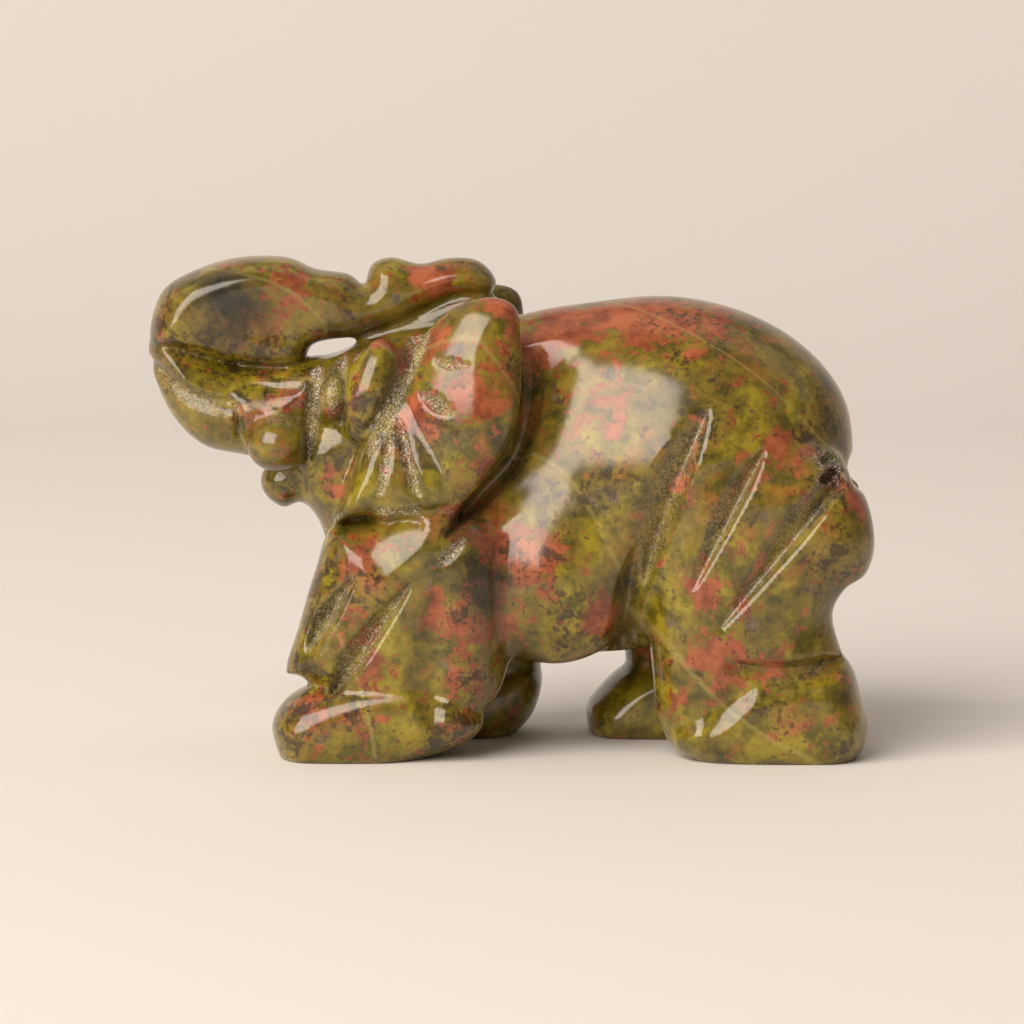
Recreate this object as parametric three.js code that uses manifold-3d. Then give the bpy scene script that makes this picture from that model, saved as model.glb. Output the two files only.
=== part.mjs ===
// A small carved stone elephant, trunk raised and folded back over its head, standing on four soles.
//
// The figure is one piece of stone. Its form is written as a distance to the surface, negative inside
// the stone, in shares: hundredths of the figure's length. x runs from the trunk (-50) to the rump
// (+50), y runs across, with the side whose forefoot steps forward at -y, and z rises from the soles.
// Each limb or mass is an outline seen from the side, given a thickness and domed towards its edges.
// Grooves lower the surface along a line. The form is then faceted, its soles are cut flat, and the
// whole is scaled to the driving sizes.
import * as THREE from "three";
import { mergeVertices } from "three/addons/utils/BufferGeometryUtils.js";
import Module from "manifold-3d";

// Driving sizes, in millimetres.
const LENGTH = 50;
const HEIGHT = 34;
const WIDTH = 20.2;

// The form is first faceted finely, in shares, then thinned to this many facets, which are kept
// closer together over the head, in front of HEAD_ENDS, than over the body.
const FINE_FACET = 1;
const FACET_COUNT = 9600;
const HEAD_ENDS = 2;
const HEAD_CARE = 3;

// Half widths across the figure, in shares.
const TORSO_HALF = 19.6;
const NECK_HALF = 14.4;
const HEAD_HALF = 12.8;
const THROAT_HALF = 8.6;
const JAW_HALF = 4.6;
const TRUNK_BASE_HALF = 8.8;
const TRUNK_CURL_HALF = 7.6;
const TRUNK_TIP_HALF = 4.8;
const LEG_HALF = 8.4;
const LEG_MIDDLE = 11.2;
const EAR_HALF = 3.6;
const EAR_MIDDLE = 17;

// The soles are cut flat at this height, in shares.
const FLOOR = 0.8;

// Small numbers for the solid geometry.
const CURVE_STEPS = 4;
const FAR_AWAY = 1e9;
const REACH = 9;
const TINY = 1e-6;

// General helpers.

const clamp = (value, low, high) => Math.min(Math.max(value, low), high);
const mix = (a, b, share) => a + (b - a) * share;

// Rises smoothly from 0 at start to 1 at end.
function rise(start, end, value) {
  const t = clamp((value - start) / (end - start), 0, 1);
  return t * t * (3 - 2 * t);
}

// Joins two distances with a fillet about as wide as blend.
function join(a, b, blend) {
  const h = Math.max(blend - Math.abs(a - b), 0) / blend;
  return Math.min(a, b) - (h * h * blend) / 4;
}

// Cuts form b out of form a, with its rim eased by blend.
const carve = (a, b, blend) => -join(-a, b, blend);

// One point of a Catmull-Rom curve between b and c.
function between(a, b, c, d, t) {
  return [0, 1].map((k) => {
    const slope = c[k] - a[k];
    const bend = 2 * a[k] - 5 * b[k] + 4 * c[k] - d[k];
    const twist = 3 * b[k] - a[k] - 3 * c[k] + d[k];
    return 0.5 * (2 * b[k] + slope * t + bend * t * t + twist * t * t * t);
  });
}

// A line with the box that holds it and everything within REACH of it.
function boxed(points) {
  const xs = points.map(([x]) => x);
  const zs = points.map(([, z]) => z);
  return {
    xs: Float64Array.from(xs),
    zs: Float64Array.from(zs),
    low: [Math.min(...xs) - REACH, Math.min(...zs) - REACH],
    high: [Math.max(...xs) + REACH, Math.max(...zs) + REACH],
  };
}

function isFar({ low, high }, x, z) {
  return x < low[0] || x > high[0] || z < low[1] || z > high[1];
}

// A smooth closed loop through the given [x, z] points.
function smoothLoop(points) {
  const count = points.length;
  const line = [];
  for (let i = 0; i < count; i += 1) {
    const [a, b, c, d] = [count - 1, 0, 1, 2].map((step) => points[(i + step) % count]);
    for (let s = 0; s < CURVE_STEPS; s += 1) {
      line.push(between(a, b, c, d, s / CURVE_STEPS));
    }
  }
  return line;
}

const outline = (points) => boxed(smoothLoop(points));

// A smooth open line through the given [x, z] points.
function stroke(points) {
  const last = points.length - 1;
  const mirror = (p, q) => [2 * p[0] - q[0], 2 * p[1] - q[1]];
  const all = [mirror(points[0], points[1]), ...points, mirror(points[last], points[last - 1])];
  const line = [];
  for (let i = 1; i < all.length - 2; i += 1) {
    for (let s = 0; s < CURVE_STEPS; s += 1) {
      line.push(between(all[i - 1], all[i], all[i + 1], all[i + 2], s / CURVE_STEPS));
    }
  }
  line.push(points[last]);
  return boxed(line);
}

// Distance to a closed line in the side view, negative inside it.
function outlineDistance({ xs, zs }, x, z) {
  let nearest = FAR_AWAY;
  let inside = false;
  for (let i = 0, j = xs.length - 1; i < xs.length; j = i, i += 1) {
    const ex = xs[j] - xs[i];
    const ez = zs[j] - zs[i];
    const wx = x - xs[i];
    const wz = z - zs[i];
    const t = clamp((wx * ex + wz * ez) / (ex * ex + ez * ez), 0, 1);
    const dx = wx - ex * t;
    const dz = wz - ez * t;
    nearest = Math.min(nearest, dx * dx + dz * dz);
    const above = z >= zs[i];
    const below = z < zs[j];
    const left = ex * wz > ez * wx;
    if ((above && below && left) || (!above && !below && !left)) {
      inside = !inside;
    }
  }
  return (inside ? -1 : 1) * Math.sqrt(nearest);
}

// Distance to a unit ellipse, from the shares of its two radii.
function ellipse(qx, qy, rx, ry) {
  const k0 = Math.sqrt(qx ** 2 + qy ** 2);
  const k1 = Math.sqrt((qx / rx) ** 2 + (qy / ry) ** 2);
  return k1 < TINY ? -Math.min(rx, ry) : (k0 * (k0 - 1)) / k1;
}

// An outline given a thickness: half is half of it, and margin is how far its domed edge reaches in.
function slab(line, middle, half, margin, x, y, z) {
  if (isFar(line, x, z) || Math.abs(y - middle) > half + REACH) {
    return REACH;
  }
  const edge = Math.max(outlineDistance(line, x, z) + margin, 0) / margin;
  return ellipse(edge, Math.abs(y - middle) / half, margin, half);
}

// An ellipsoid, leaning by an angle in degrees in the side view.
function egg([cx, cy, cz], [rx, ry, rz], lean, x, y, z) {
  const farX = Math.abs(x - cx) > Math.max(rx, rz) + REACH;
  const farZ = Math.abs(z - cz) > Math.max(rx, rz) + REACH;
  if (farX || farZ || Math.abs(y - cy) > ry + REACH) {
    return REACH;
  }
  const c = Math.cos(THREE.MathUtils.degToRad(lean));
  const s = Math.sin(THREE.MathUtils.degToRad(lean));
  const dx = c * (x - cx) + s * (z - cz);
  const dy = y - cy;
  const dz = c * (z - cz) - s * (x - cx);
  const k0 = Math.sqrt((dx / rx) ** 2 + (dy / ry) ** 2 + (dz / rz) ** 2);
  const k1 = Math.sqrt((dx / rx ** 2) ** 2 + (dy / ry ** 2) ** 2 + (dz / rz ** 2) ** 2);
  return k1 < TINY ? -Math.min(rx, ry, rz) : (k0 * (k0 - 1)) / k1;
}

// Depth of a leaf-shaped V groove. Its line has a wall on each side with its own width, and the
// groove fades out over a share of its length at either end.
function grooveDepth({ line, depth, left, right, fade }, x, z) {
  if (isFar(line, x, z)) {
    return 0;
  }
  const { xs, zs } = line;
  let nearest = FAR_AWAY;
  let along = 0;
  let side = 0;
  for (let i = 0; i + 1 < xs.length; i += 1) {
    const ex = xs[i + 1] - xs[i];
    const ez = zs[i + 1] - zs[i];
    const wx = x - xs[i];
    const wz = z - zs[i];
    const t = clamp((wx * ex + wz * ez) / (ex * ex + ez * ez), 0, 1);
    const distance = (wx - ex * t) ** 2 + (wz - ez * t) ** 2;
    if (distance < nearest) {
      nearest = distance;
      along = (i + t) / (xs.length - 1);
      side = ex * wz - ez * wx;
    }
  }
  const taper = Math.sqrt(clamp(Math.min(along / fade[0], (1 - along) / fade[1]), 0, 1));
  const wall = (side > 0 ? left : right) * Math.max(taper, 0.2);
  return depth * taper * Math.max(0, 1 - Math.sqrt(nearest) / wall);
}

const groove = (points, depth, left, right, fade) => ({ line: stroke(points), depth, left, right, fade });

const deepest = (grooves, x, z) => Math.max(...grooves.map((each) => grooveDepth(each, x, z)));

// Body and legs.

const TORSO = outline([
  [-22, 33], [-20, 43], [-12, 54], [0, 60], [11, 62.2], [22, 63.05], [32, 60.9], [40, 56.4], [45.3, 50.2],
  [47, 43.5], [46, 36], [38, 24], [26, 16], [12, 13.7], [0, 14], [-10, 17], [-18, 24],
]);

// The side at -y strides with its forefoot out in front and its hind foot behind.
const NEAR_FORELEG = outline([
  [-23.5, 33], [-26.4, 26.5], [-28.8, 18.5], [-30.5, 12.6], [-28.3, 11.6], [-22, 7], [-8, 5], [-2.6, 8],
  [-0.3, 13], [1, 22], [-2, 34], [-13, 38],
]);
const NEAR_FOREFOOT = outline([
  [-32.3, 3.6], [-31.5, 7.4], [-27.6, 10.4], [-18, 13], [-8, 12], [-3.6, 6.5], [-5.5, 3], [-12, 0.3],
  [-18, -2], [-29, -1.6],
]);
const NEAR_HIND_LEG = outline([
  [18.1, 27], [18.7, 20.5], [19.4, 13], [20.2, 6], [24, 2], [36, 2], [46, 5], [47.3, 9.6], [45.2, 15.2],
  [43.9, 20.3], [45.5, 23.8], [48.4, 26], [49.55, 30], [48.8, 35], [47, 38.5], [43, 43], [34, 44.5],
  [24.5, 42], [20, 35],
]);
const NEAR_HIND_FOOT = outline([
  [21.6, 3.4], [23.4, 8.2], [28, 12], [37, 14], [45.3, 14.4], [47.8, 9.4], [48.8, 4.4], [47.2, 0.6],
  [43, -1.6], [32, -1.6], [25, 0.3],
]);

// The other side has its forefoot drawn back and its hind foot brought forward.
const FAR_FORELEG = outline([
  [-20, 33], [-19, 22], [-16.5, 12], [-12, 8], [-2, 6], [3.6, 10], [4, 16], [5, 24], [0, 36], [-12, 38],
]);
const FAR_FOREFOOT = outline([
  [-17, 4], [-15, 8.5], [-9, 11], [1, 11.5], [4.1, 9.5], [3.2, 4.2], [0.5, 0.8], [-3, -1.6], [-14, -1.6],
]);
const FAR_HIND_LEG = outline([
  [12, 30], [13, 22], [15.5, 14], [17, 8], [24, 4], [34, 5], [39, 10], [40, 18], [44, 27], [46.5, 34],
  [44, 46], [32, 52], [20, 44],
]);
const FAR_HIND_FOOT = outline([
  [10.4, 3.6], [12.3, 7.3], [17, 11], [25, 13], [35, 12], [39.5, 8], [38.5, 2], [34, -1.6], [14, -1.6],
]);

// Cuts on the thigh and its ankle, between belly and thigh, and down the foreleg.
const NEAR_CUTS = [
  groove([[26.8, 49], [22.8, 39.4], [19.4, 29.5], [18.2, 24]], 2.2, 2.3, 3.5, [0.35, 0.3]),
  groove([[34.6, 43.6], [29.6, 34], [24.8, 24.4]], 1.8, 1.4, 2.7, [0.3, 0.5]),
  groove([[45.6, 40], [36.5, 29], [27.8, 18.6]], 2.4, 1.6, 3.3, [0.1, 0.6]),
  groove([[28.8, 14.8], [36, 13.7], [45, 14.6]], 1.5, 1.4, 2.5, [0.4, 0.15]),
  groove([[17.4, 30.5], [16.4, 24], [15.6, 18], [16.2, 11]], 2, 2.2, 2, [0.3, 0.05]),
  groove([[-20.8, 26], [-23.9, 21.7], [-27, 16.3]], 1.6, 1.3, 1.9, [0.5, 0.5]),
  groove([[-13, 25.4], [-18.6, 17.8], [-24.6, 9]], 2.5, 1.7, 2.5, [0.6, 0.1]),
  groove([[-9.4, 25], [-10.6, 16], [-10.2, 5]], 1, 3.5, 3.5, [0.5, 0.4]),
  groove([[1.6, 34], [-0.6, 26], [-2.4, 16]], 0.9, 3, 3, [0.4, 0.4]),
  groove([[-24, 33.2], [-18, 34], [-11, 33.6]], 2.2, 1.5, 8, [0.15, 0.2]),
  groove([[-5.6, 31.6], [-9.8, 27.6]], 0.8, 1.2, 1.2, [0.5, 0.5]),
];
const FAR_CUTS = [
  groove([[24, 46], [18.6, 36], [15.4, 27]], 2, 2.4, 3, [0.35, 0.3]),
  groove([[33, 42], [27.5, 32], [22, 22]], 1.7, 1.6, 2.6, [0.3, 0.5]),
  groove([[43.5, 38], [34.5, 27], [26, 17]], 2, 1.8, 3, [0.2, 0.6]),
  groove([[20, 12.6], [28, 12], [36, 12.6]], 1.3, 1.6, 2.2, [0.4, 0.2]),
  groove([[-8, 26], [-12, 18], [-15.4, 11]], 1.8, 1.8, 2.4, [0.6, 0.2]),
];

// A rounded notch across the rump, above the thighs and the tail.
const RUMP_NOTCH = [48.7, 39.7];
const RUMP_NOTCH_RADIUS = 2.5;

function bodyAndLegs(x, y, z) {
  const out = Math.abs(y);
  const torsoHalf = mix(NECK_HALF, TORSO_HALF, rise(-4, 30, x));
  let form = slab(TORSO, 0, torsoHalf, 25, x, y, z);
  form = join(form, egg([6, 11, 24.5], [11, 6.8, 11], 0, x, out, z), 5);
  form = join(form, slab(NEAR_FORELEG, -LEG_MIDDLE, LEG_HALF, 8.5, x, y, z), 2);
  form = join(form, slab(NEAR_FOREFOOT, -LEG_MIDDLE, LEG_HALF + 0.4, 5, x, y, z), 0.8);
  form = join(form, slab(NEAR_HIND_LEG, -LEG_MIDDLE, LEG_HALF, 9, x, y, z), 2);
  form = join(form, slab(NEAR_HIND_FOOT, -LEG_MIDDLE, LEG_HALF + 0.6, 5, x, y, z), 1);
  form = join(form, slab(FAR_FORELEG, LEG_MIDDLE, LEG_HALF - 0.2, 8, x, y, z), 2);
  form = join(form, slab(FAR_FOREFOOT, LEG_MIDDLE, LEG_HALF, 5, x, y, z), 0.8);
  form = join(form, slab(FAR_HIND_LEG, LEG_MIDDLE, LEG_HALF + 0.2, 9, x, y, z), 2);
  form = join(form, slab(FAR_HIND_FOOT, LEG_MIDDLE, LEG_HALF + 0.4, 5, x, y, z), 1);
  form = join(form, egg([45.2, 0, 32], [2.8, 2.6, 9.5], -4, x, y, z), 1.5);
  form += clamp((-y - 2) / 2, 0, 1) * deepest(NEAR_CUTS, x, z);
  form += clamp((y - 2) / 2, 0, 1) * deepest(FAR_CUTS, x, z);
  const notch = Math.sqrt((x - RUMP_NOTCH[0]) ** 2 + (z - RUMP_NOTCH[1]) ** 2) - RUMP_NOTCH_RADIUS;
  return carve(form, notch, 0.6);
}

// Head, trunk and ears.

const HEAD = outline([
  [-29.5, 50], [-26.5, 54.4], [-20, 57], [-12, 58.8], [-2, 60], [4, 54], [0, 42], [-10, 36], [-19.5, 41],
  [-24, 44.2], [-28, 45.6],
]);
const THROAT = outline([[-31, 44], [-29, 36], [-26, 32], [-23.6, 28], [-14, 28], [-12, 44], [-20, 50]]);
const JAW = outline([
  [-34.5, 38.3], [-34, 35.6], [-31.5, 33.8], [-29, 34.6], [-27, 33.6], [-24, 28], [-18, 34], [-26, 42],
  [-32, 41],
]);

// The trunk swells out from the face, curls up and folds back, and its tip lies over the forehead.
const TRUNK_BASE = outline([
  [-49.75, 57], [-49.3, 52.4], [-46.7, 46.5], [-42.6, 42.5], [-37.5, 41.2], [-31, 40.5], [-26, 44],
  [-24, 50], [-25.4, 54.2], [-29, 54.6], [-33, 53.8], [-39, 54.3], [-46, 58],
]);
const TRUNK_FOLD = outline([
  [-49.75, 57], [-48.3, 63.3], [-44, 66.4], [-37.5, 68.35], [-31, 68.4], [-27, 66.8], [-22.5, 66.1],
  [-20.3, 64.7], [-19.2, 67.4], [-16.5, 68.4], [-12.5, 67.5], [-8.5, 68.3], [-4.5, 67.9], [-2.1, 65.2],
  [-3.5, 63.1], [-8.5, 62.5], [-15, 59], [-21.5, 57.1], [-24.8, 57], [-27.4, 56.2], [-29, 53.8],
  [-33, 53.1], [-41, 54.3], [-47, 55.5],
]);
const TRUNK_WEB = outline([[-20.8, 58], [-14, 61], [-5, 64], [0, 60], [-10, 57], [-18, 56]]);
const TRUNK_CUTS = [
  groove([[-50, 54.4], [-45.6, 50.6], [-41.4, 48.6], [-37.4, 48.2]], 1.4, 1.5, 2.7, [0.5, 0.06]),
  groove([[-37.6, 48.4], [-37.5, 45], [-38.2, 41]], 1.3, 1.4, 1.4, [0.1, 0.1]),
];

// The face is cut behind the trunk, with a pit before the eye, and again in front of the ear.
const FACE_CUTS = [
  groove([[-26, 54], [-26.8, 50], [-27.2, 46], [-27.6, 41]], 2, 1.4, 1.4, [0.1, 0.2]),
  groove([[-26, 53.2], [-26.6, 50], [-26.8, 46.4]], 3, 1.6, 1.2, [0.25, 0.3]),
  groove([[-22.6, 55.4], [-22.9, 50.5], [-22.6, 45.6]], 1.6, 0.9, 2.4, [0.2, 0.3]),
  groove([[-10.8, 60.5], [-13.2, 55], [-16.2, 48.8], [-19, 42]], 2.6, 1.6, 2.8, [0.1, 0.2]),
];

// The cheek falls as a flap in front of each ear and ends in a hem above the shoulder.
const CHEEK_FLAP = outline([
  [-19, 46], [-21.5, 40.1], [-23, 36.3], [-24, 32.7], [-19.1, 33.4], [-12, 33.5], [-6, 36], [-6, 46],
  [-12, 54],
]);
const FLAP_CUTS = [
  groove([[-14.9, 48], [-13.9, 43], [-12.1, 37]], 1.2, 1.2, 1.2, [0.2, 0.15]),
];
const EAR = outline([
  [-3, 63.75], [0.6, 62.7], [1.5, 59], [1.6, 51], [0.4, 45], [-3.4, 39.3], [-8, 34], [-10.6, 32.1],
  [-12.3, 33.3], [-11.9, 39], [-14.1, 46], [-14.2, 51.5], [-12, 57.7], [-8, 62],
]);
const BEHIND_EAR = [
  groove([[-2, 63], [2.7, 56.5], [2.9, 49], [1, 42.2], [-3.6, 36.8], [-8.6, 31.4]], 1.4, 8, 2, [0.1, 0.2]),
  groove([[-2, 63], [2.4, 56.5], [2.6, 49], [0.8, 42.2], [-3.8, 36.8], [-8.8, 31.4]], 3.8, 3, 2, [0.1, 0.2]),
];

function trunk(x, y, z) {
  const out = Math.abs(y);
  const base = slab(TRUNK_BASE, 0, TRUNK_BASE_HALF, 11, x, y, z) + deepest(TRUNK_CUTS, x, z);
  const facet = Math.max(0.19 * (z - 68) - 0.33 * (x + 41), 0);
  const half = mix(TRUNK_CURL_HALF, TRUNK_TIP_HALF, rise(-42, -8, x)) - facet;
  const fold = slab(TRUNK_FOLD, 0, half, 3.8, x, y, z);
  const hollow = egg([-31.5, 13.2, 58.2], [10, 7.4, 6.2], 8, x, out, z);
  const web = slab(TRUNK_WEB, 0, 3.4, 2.4, x, y, z);
  return join(join(base, carve(fold, hollow, 3), 0.3), web, 1);
}

function head(x, y, z) {
  const out = Math.abs(y);
  let form = slab(HEAD, 0, HEAD_HALF, 8, x, y, z);
  form = join(form, slab(THROAT, 0, THROAT_HALF, 6, x, y, z), 1.2);
  form = join(form, slab(JAW, 0, JAW_HALF, 3.4, x, y, z), 1.5);
  form = join(form, trunk(x, y, z), 1.2);
  form = join(form, egg([-18.8, 9.6, 50.6], [3.6, 4.4, 7.4], -15, x, out, z), 1.6);
  form = join(form, egg([-31.7, 6.8, 43.3], [4.4, 5.2, 4], 0, x, out, z), 1.2);
  form += clamp((out - 5) / 2, 0, 1) * deepest(FACE_CUTS, x, z);
  return join(form, egg([-24.1, 10.2, 49.9], [1.9, 2.7, 3], -8, x, out, z), 0.6);
}

function figure(x, y, z) {
  const out = Math.abs(y);
  const flapHalf = mix(6, 10.9, rise(56, 38, z));
  const flap = slab(CHEEK_FLAP, 8, flapHalf, 2.6, x, out, z) + deepest(FLAP_CUTS, x, z);
  const earMiddle = EAR_MIDDLE - 2.6 * rise(-3, -14, x) - 2.2 * rise(42, 66, z);
  const ear = slab(EAR, earMiddle, EAR_HALF, 7.2, x, out, z);
  let form = join(bodyAndLegs(x, y, z), head(x, y, z), 2);
  form = join(form, flap, 0.6);
  form += clamp((out - 8) / 2, 0, 1) * deepest(BEHIND_EAR, x, z);
  return join(form, ear, 0.3);
}

// Faceting: one vertex in each lattice cell that the surface crosses, moved onto the surface.

function latticeLines(low, high) {
  const count = Math.ceil((high - low) / FINE_FACET) + 1;
  return Array.from({ length: count }, (_, n) => low + n * FINE_FACET);
}

// How far the form reaches along x either way, across and up, with room to spare.
const REACHES = [53, Math.max(TORSO_HALF, LEG_MIDDLE + LEG_HALF, EAR_MIDDLE + EAR_HALF) + 3, 72];

const LINES = [
  latticeLines(-REACHES[0], REACHES[0]),
  latticeLines(-REACHES[1], REACHES[1]),
  latticeLines(FLOOR - 6.5, REACHES[2]),
];
const COUNT = LINES.map((lines) => lines.length);
const nodeIndex = (i, j, k) => (i * COUNT[1] + j) * COUNT[2] + k;

function sampleFigure() {
  const values = new Float64Array(COUNT[0] * COUNT[1] * COUNT[2]);
  for (let i = 0; i < COUNT[0]; i += 1) {
    for (let j = 0; j < COUNT[1]; j += 1) {
      for (let k = 0; k < COUNT[2]; k += 1) {
        values[nodeIndex(i, j, k)] = figure(LINES[0][i], LINES[1][j], LINES[2][k]);
      }
    }
  }
  return values;
}

const CORNERS = [0, 1, 2, 3, 4, 5, 6, 7].map((n) => [n & 1, (n >> 1) & 1, (n >> 2) & 1]);
const cornersApart = (a, b) => CORNERS[a].filter((value, n) => value !== CORNERS[b][n]).length;
const CORNER_PAIRS = CORNERS.flatMap((_, a) => CORNERS.slice(a + 1).map((__, n) => [a, a + 1 + n]));
const EDGE_PAIRS = CORNER_PAIRS.filter(([a, b]) => cornersApart(a, b) === 1);
const CELL_EDGES = EDGE_PAIRS.map(([a, b]) => [CORNERS[a], CORNERS[b]]);

// Whether the corners of one kind, in stone or in air, hang together along the cell's edges.
function hangsTogether(inStone, kind) {
  const members = [0, 1, 2, 3, 4, 5, 6, 7].filter((n) => inStone[n] === kind);
  const reached = new Set(members.slice(0, 1));
  for (let round = 0; round < members.length; round += 1) {
    for (const [a, b] of EDGE_PAIRS) {
      if (inStone[a] === kind && inStone[b] === kind && (reached.has(a) || reached.has(b))) {
        reached.add(a).add(b);
      }
    }
  }
  return reached.size === members.length;
}

// Whether a face of the cell has stone at two corners across its diagonal and air at the others.
function hasCrossedFace(inStone) {
  return CORNER_PAIRS.some(([a, b]) => {
    if (cornersApart(a, b) !== 2 || inStone[a] !== inStone[b]) {
      return false;
    }
    return CORNERS.every((_, n) => {
      const isOther = cornersApart(n, a) === 1 && cornersApart(n, b) === 1;
      return !isOther || inStone[n] !== inStone[a];
    });
  });
}

// For each of the 256 ways that a cell's corners can lie, whether one sheet of surface passes through.
const ONE_SHEET = Array.from({ length: 2 ** CORNERS.length }, (_, code) => {
  const inStone = CORNERS.map((__, n) => ((code >> n) & 1) === 1);
  return hangsTogether(inStone, true) && hangsTogether(inStone, false) && !hasCrossedFace(inStone);
});

// Leaves one sheet of surface in every cell, by filling the corner of air that is nearest the stone.
function fillDoubledCells(values) {
  let filled = 1;
  while (filled > 0) {
    filled = 0;
    for (let i = 0; i + 1 < COUNT[0]; i += 1) {
      for (let j = 0; j + 1 < COUNT[1]; j += 1) {
        for (let k = 0; k + 1 < COUNT[2]; k += 1) {
          const nodes = CORNERS.map((c) => nodeIndex(i + c[0], j + c[1], k + c[2]));
          const code = nodes.reduce((sum, node, n) => sum + (values[node] < 0 ? 1 << n : 0), 0);
          if (!ONE_SHEET[code]) {
            const air = nodes.filter((node) => values[node] >= 0);
            const nearest = air.reduce((best, node) => (values[node] < values[best] ? node : best));
            values[nearest] = -0.1;
            filled += 1;
          }
        }
      }
    }
  }
}

// Fills every pocket of air that is cut off from the air outside.
function fillPockets(values) {
  const open = new Uint8Array(values.length);
  const waiting = [[0, 0, 0]];
  open[0] = 1;
  while (waiting.length > 0) {
    const node = waiting.pop();
    for (const [along, step] of [[0, 1], [0, -1], [1, 1], [1, -1], [2, 1], [2, -1]]) {
      const next = [...node];
      next[along] += step;
      const index = nodeIndex(...next);
      if (next[along] >= 0 && next[along] < COUNT[along] && !open[index] && values[index] >= 0) {
        open[index] = 1;
        waiting.push(next);
      }
    }
  }
  values.forEach((value, index) => {
    if (value >= 0 && !open[index]) {
      values[index] = -0.1;
    }
  });
}

// How the form's distance rises across a cell, from the values at its corners.
function cellSlope(values, i, j, k) {
  const slope = new THREE.Vector3();
  for (const corner of CORNERS) {
    const value = values[nodeIndex(i + corner[0], j + corner[1], k + corner[2])];
    const away = new THREE.Vector3(...corner).multiplyScalar(2).subScalar(1);
    slope.addScaledVector(away, value / (4 * FINE_FACET));
  }
  return slope;
}

// Moves a point along the slope until it lies on the surface, though not out of its cell.
function settle(point, slope) {
  const start = point.clone();
  const steepness = Math.max(slope.lengthSq(), 0.25);
  for (let round = 0; round < 2; round += 1) {
    point.addScaledVector(slope, -figure(point.x, point.y, point.z) / steepness);
  }
  const moved = point.clone().sub(start);
  moved.clampLength(0, 0.35 * FINE_FACET);
  return start.add(moved);
}

// The middle of the places where the surface crosses a cell's edges, or null if it misses the cell.
function cellVertex(values, i, j, k) {
  const middle = new THREE.Vector3();
  let crossings = 0;
  for (const [a, b] of CELL_EDGES) {
    const va = values[nodeIndex(i + a[0], j + a[1], k + a[2])];
    const vb = values[nodeIndex(i + b[0], j + b[1], k + b[2])];
    if (va < 0 !== vb < 0) {
      const t = va / (va - vb);
      middle.x += mix(LINES[0][i + a[0]], LINES[0][i + b[0]], t);
      middle.y += mix(LINES[1][j + a[1]], LINES[1][j + b[1]], t);
      middle.z += mix(LINES[2][k + a[2]], LINES[2][k + b[2]], t);
      crossings += 1;
    }
  }
  return crossings ? settle(middle.divideScalar(crossings), cellSlope(values, i, j, k)) : null;
}

// Splits a four-sided facet along its shorter diagonal, facing out of the stone.
function addFacet(indices, vertices, corners, outward) {
  const [a, b, c, d] = outward ? corners : [...corners].reverse();
  if (vertices[a].distanceToSquared(vertices[c]) <= vertices[b].distanceToSquared(vertices[d])) {
    indices.push(a, b, c, a, c, d);
  } else {
    indices.push(a, b, d, b, c, d);
  }
}

function fineFacets() {
  const values = sampleFigure();
  fillDoubledCells(values);
  fillPockets(values);
  const vertices = [];
  const cellOwner = new Int32Array(values.length).fill(-1);
  for (let i = 0; i + 1 < COUNT[0]; i += 1) {
    for (let j = 0; j + 1 < COUNT[1]; j += 1) {
      for (let k = 0; k + 1 < COUNT[2]; k += 1) {
        const vertex = cellVertex(values, i, j, k);
        if (vertex) {
          cellOwner[nodeIndex(i, j, k)] = vertices.length;
          vertices.push(vertex);
        }
      }
    }
  }
  const indices = [];
  for (let i = 1; i + 1 < COUNT[0]; i += 1) {
    for (let j = 1; j + 1 < COUNT[1]; j += 1) {
      for (let k = 1; k + 1 < COUNT[2]; k += 1) {
        const here = values[nodeIndex(i, j, k)] < 0;
        for (let along = 0; along < 3; along += 1) {
          const step = [0, 1, 2].map((n) => (n === along ? 1 : 0));
          const there = values[nodeIndex(i + step[0], j + step[1], k + step[2])] < 0;
          if (here !== there) {
            const [u, v] = [(along + 1) % 3, (along + 2) % 3];
            const ring = [[1, 1], [0, 1], [0, 0], [1, 0]].map(([du, dv]) => {
              const cell = [i, j, k];
              cell[u] -= du;
              cell[v] -= dv;
              return cellOwner[nodeIndex(...cell)];
            });
            addFacet(indices, vertices, ring, here);
          }
        }
      }
    }
  }
  return { vertices, indices };
}

// Thinning: the edge whose loss changes the form least is drawn together into one point, over and
// over. The change is the squared distance from the planes of all the facets that met there.

// The sum of squared distances to a plane, as the ten numbers of a symmetric form.
function planeError(normal, offset, weight) {
  const p = [normal.x, normal.y, normal.z, offset];
  const sums = [];
  for (let row = 0; row < 4; row += 1) {
    for (let column = row; column < 4; column += 1) {
      sums.push(weight * p[row] * p[column]);
    }
  }
  return sums;
}

function errorAt(e, v) {
  const squares = e[0] * v.x * v.x + e[4] * v.y * v.y + e[7] * v.z * v.z;
  const products = e[1] * v.x * v.y + e[2] * v.x * v.z + e[5] * v.y * v.z;
  return squares + 2 * (products + e[3] * v.x + e[6] * v.y + e[8] * v.z) + e[9];
}

// The point of least error, or the better of the ends and the middle where the facets are too flat.
function bestPoint(e, a, b) {
  const matrix = new THREE.Matrix3(e[0], e[1], e[2], e[1], e[4], e[5], e[2], e[5], e[7]);
  const middle = a.clone().add(b).multiplyScalar(0.5);
  if (Math.abs(matrix.determinant()) > 1e-4) {
    const point = new THREE.Vector3(-e[3], -e[6], -e[8]).applyMatrix3(matrix.invert());
    if (point.distanceTo(middle) < a.distanceTo(b)) {
      return point;
    }
  }
  return [a.clone(), b.clone(), middle].reduce((best, v) => (errorAt(e, v) < errorAt(e, best) ? v : best));
}

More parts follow.
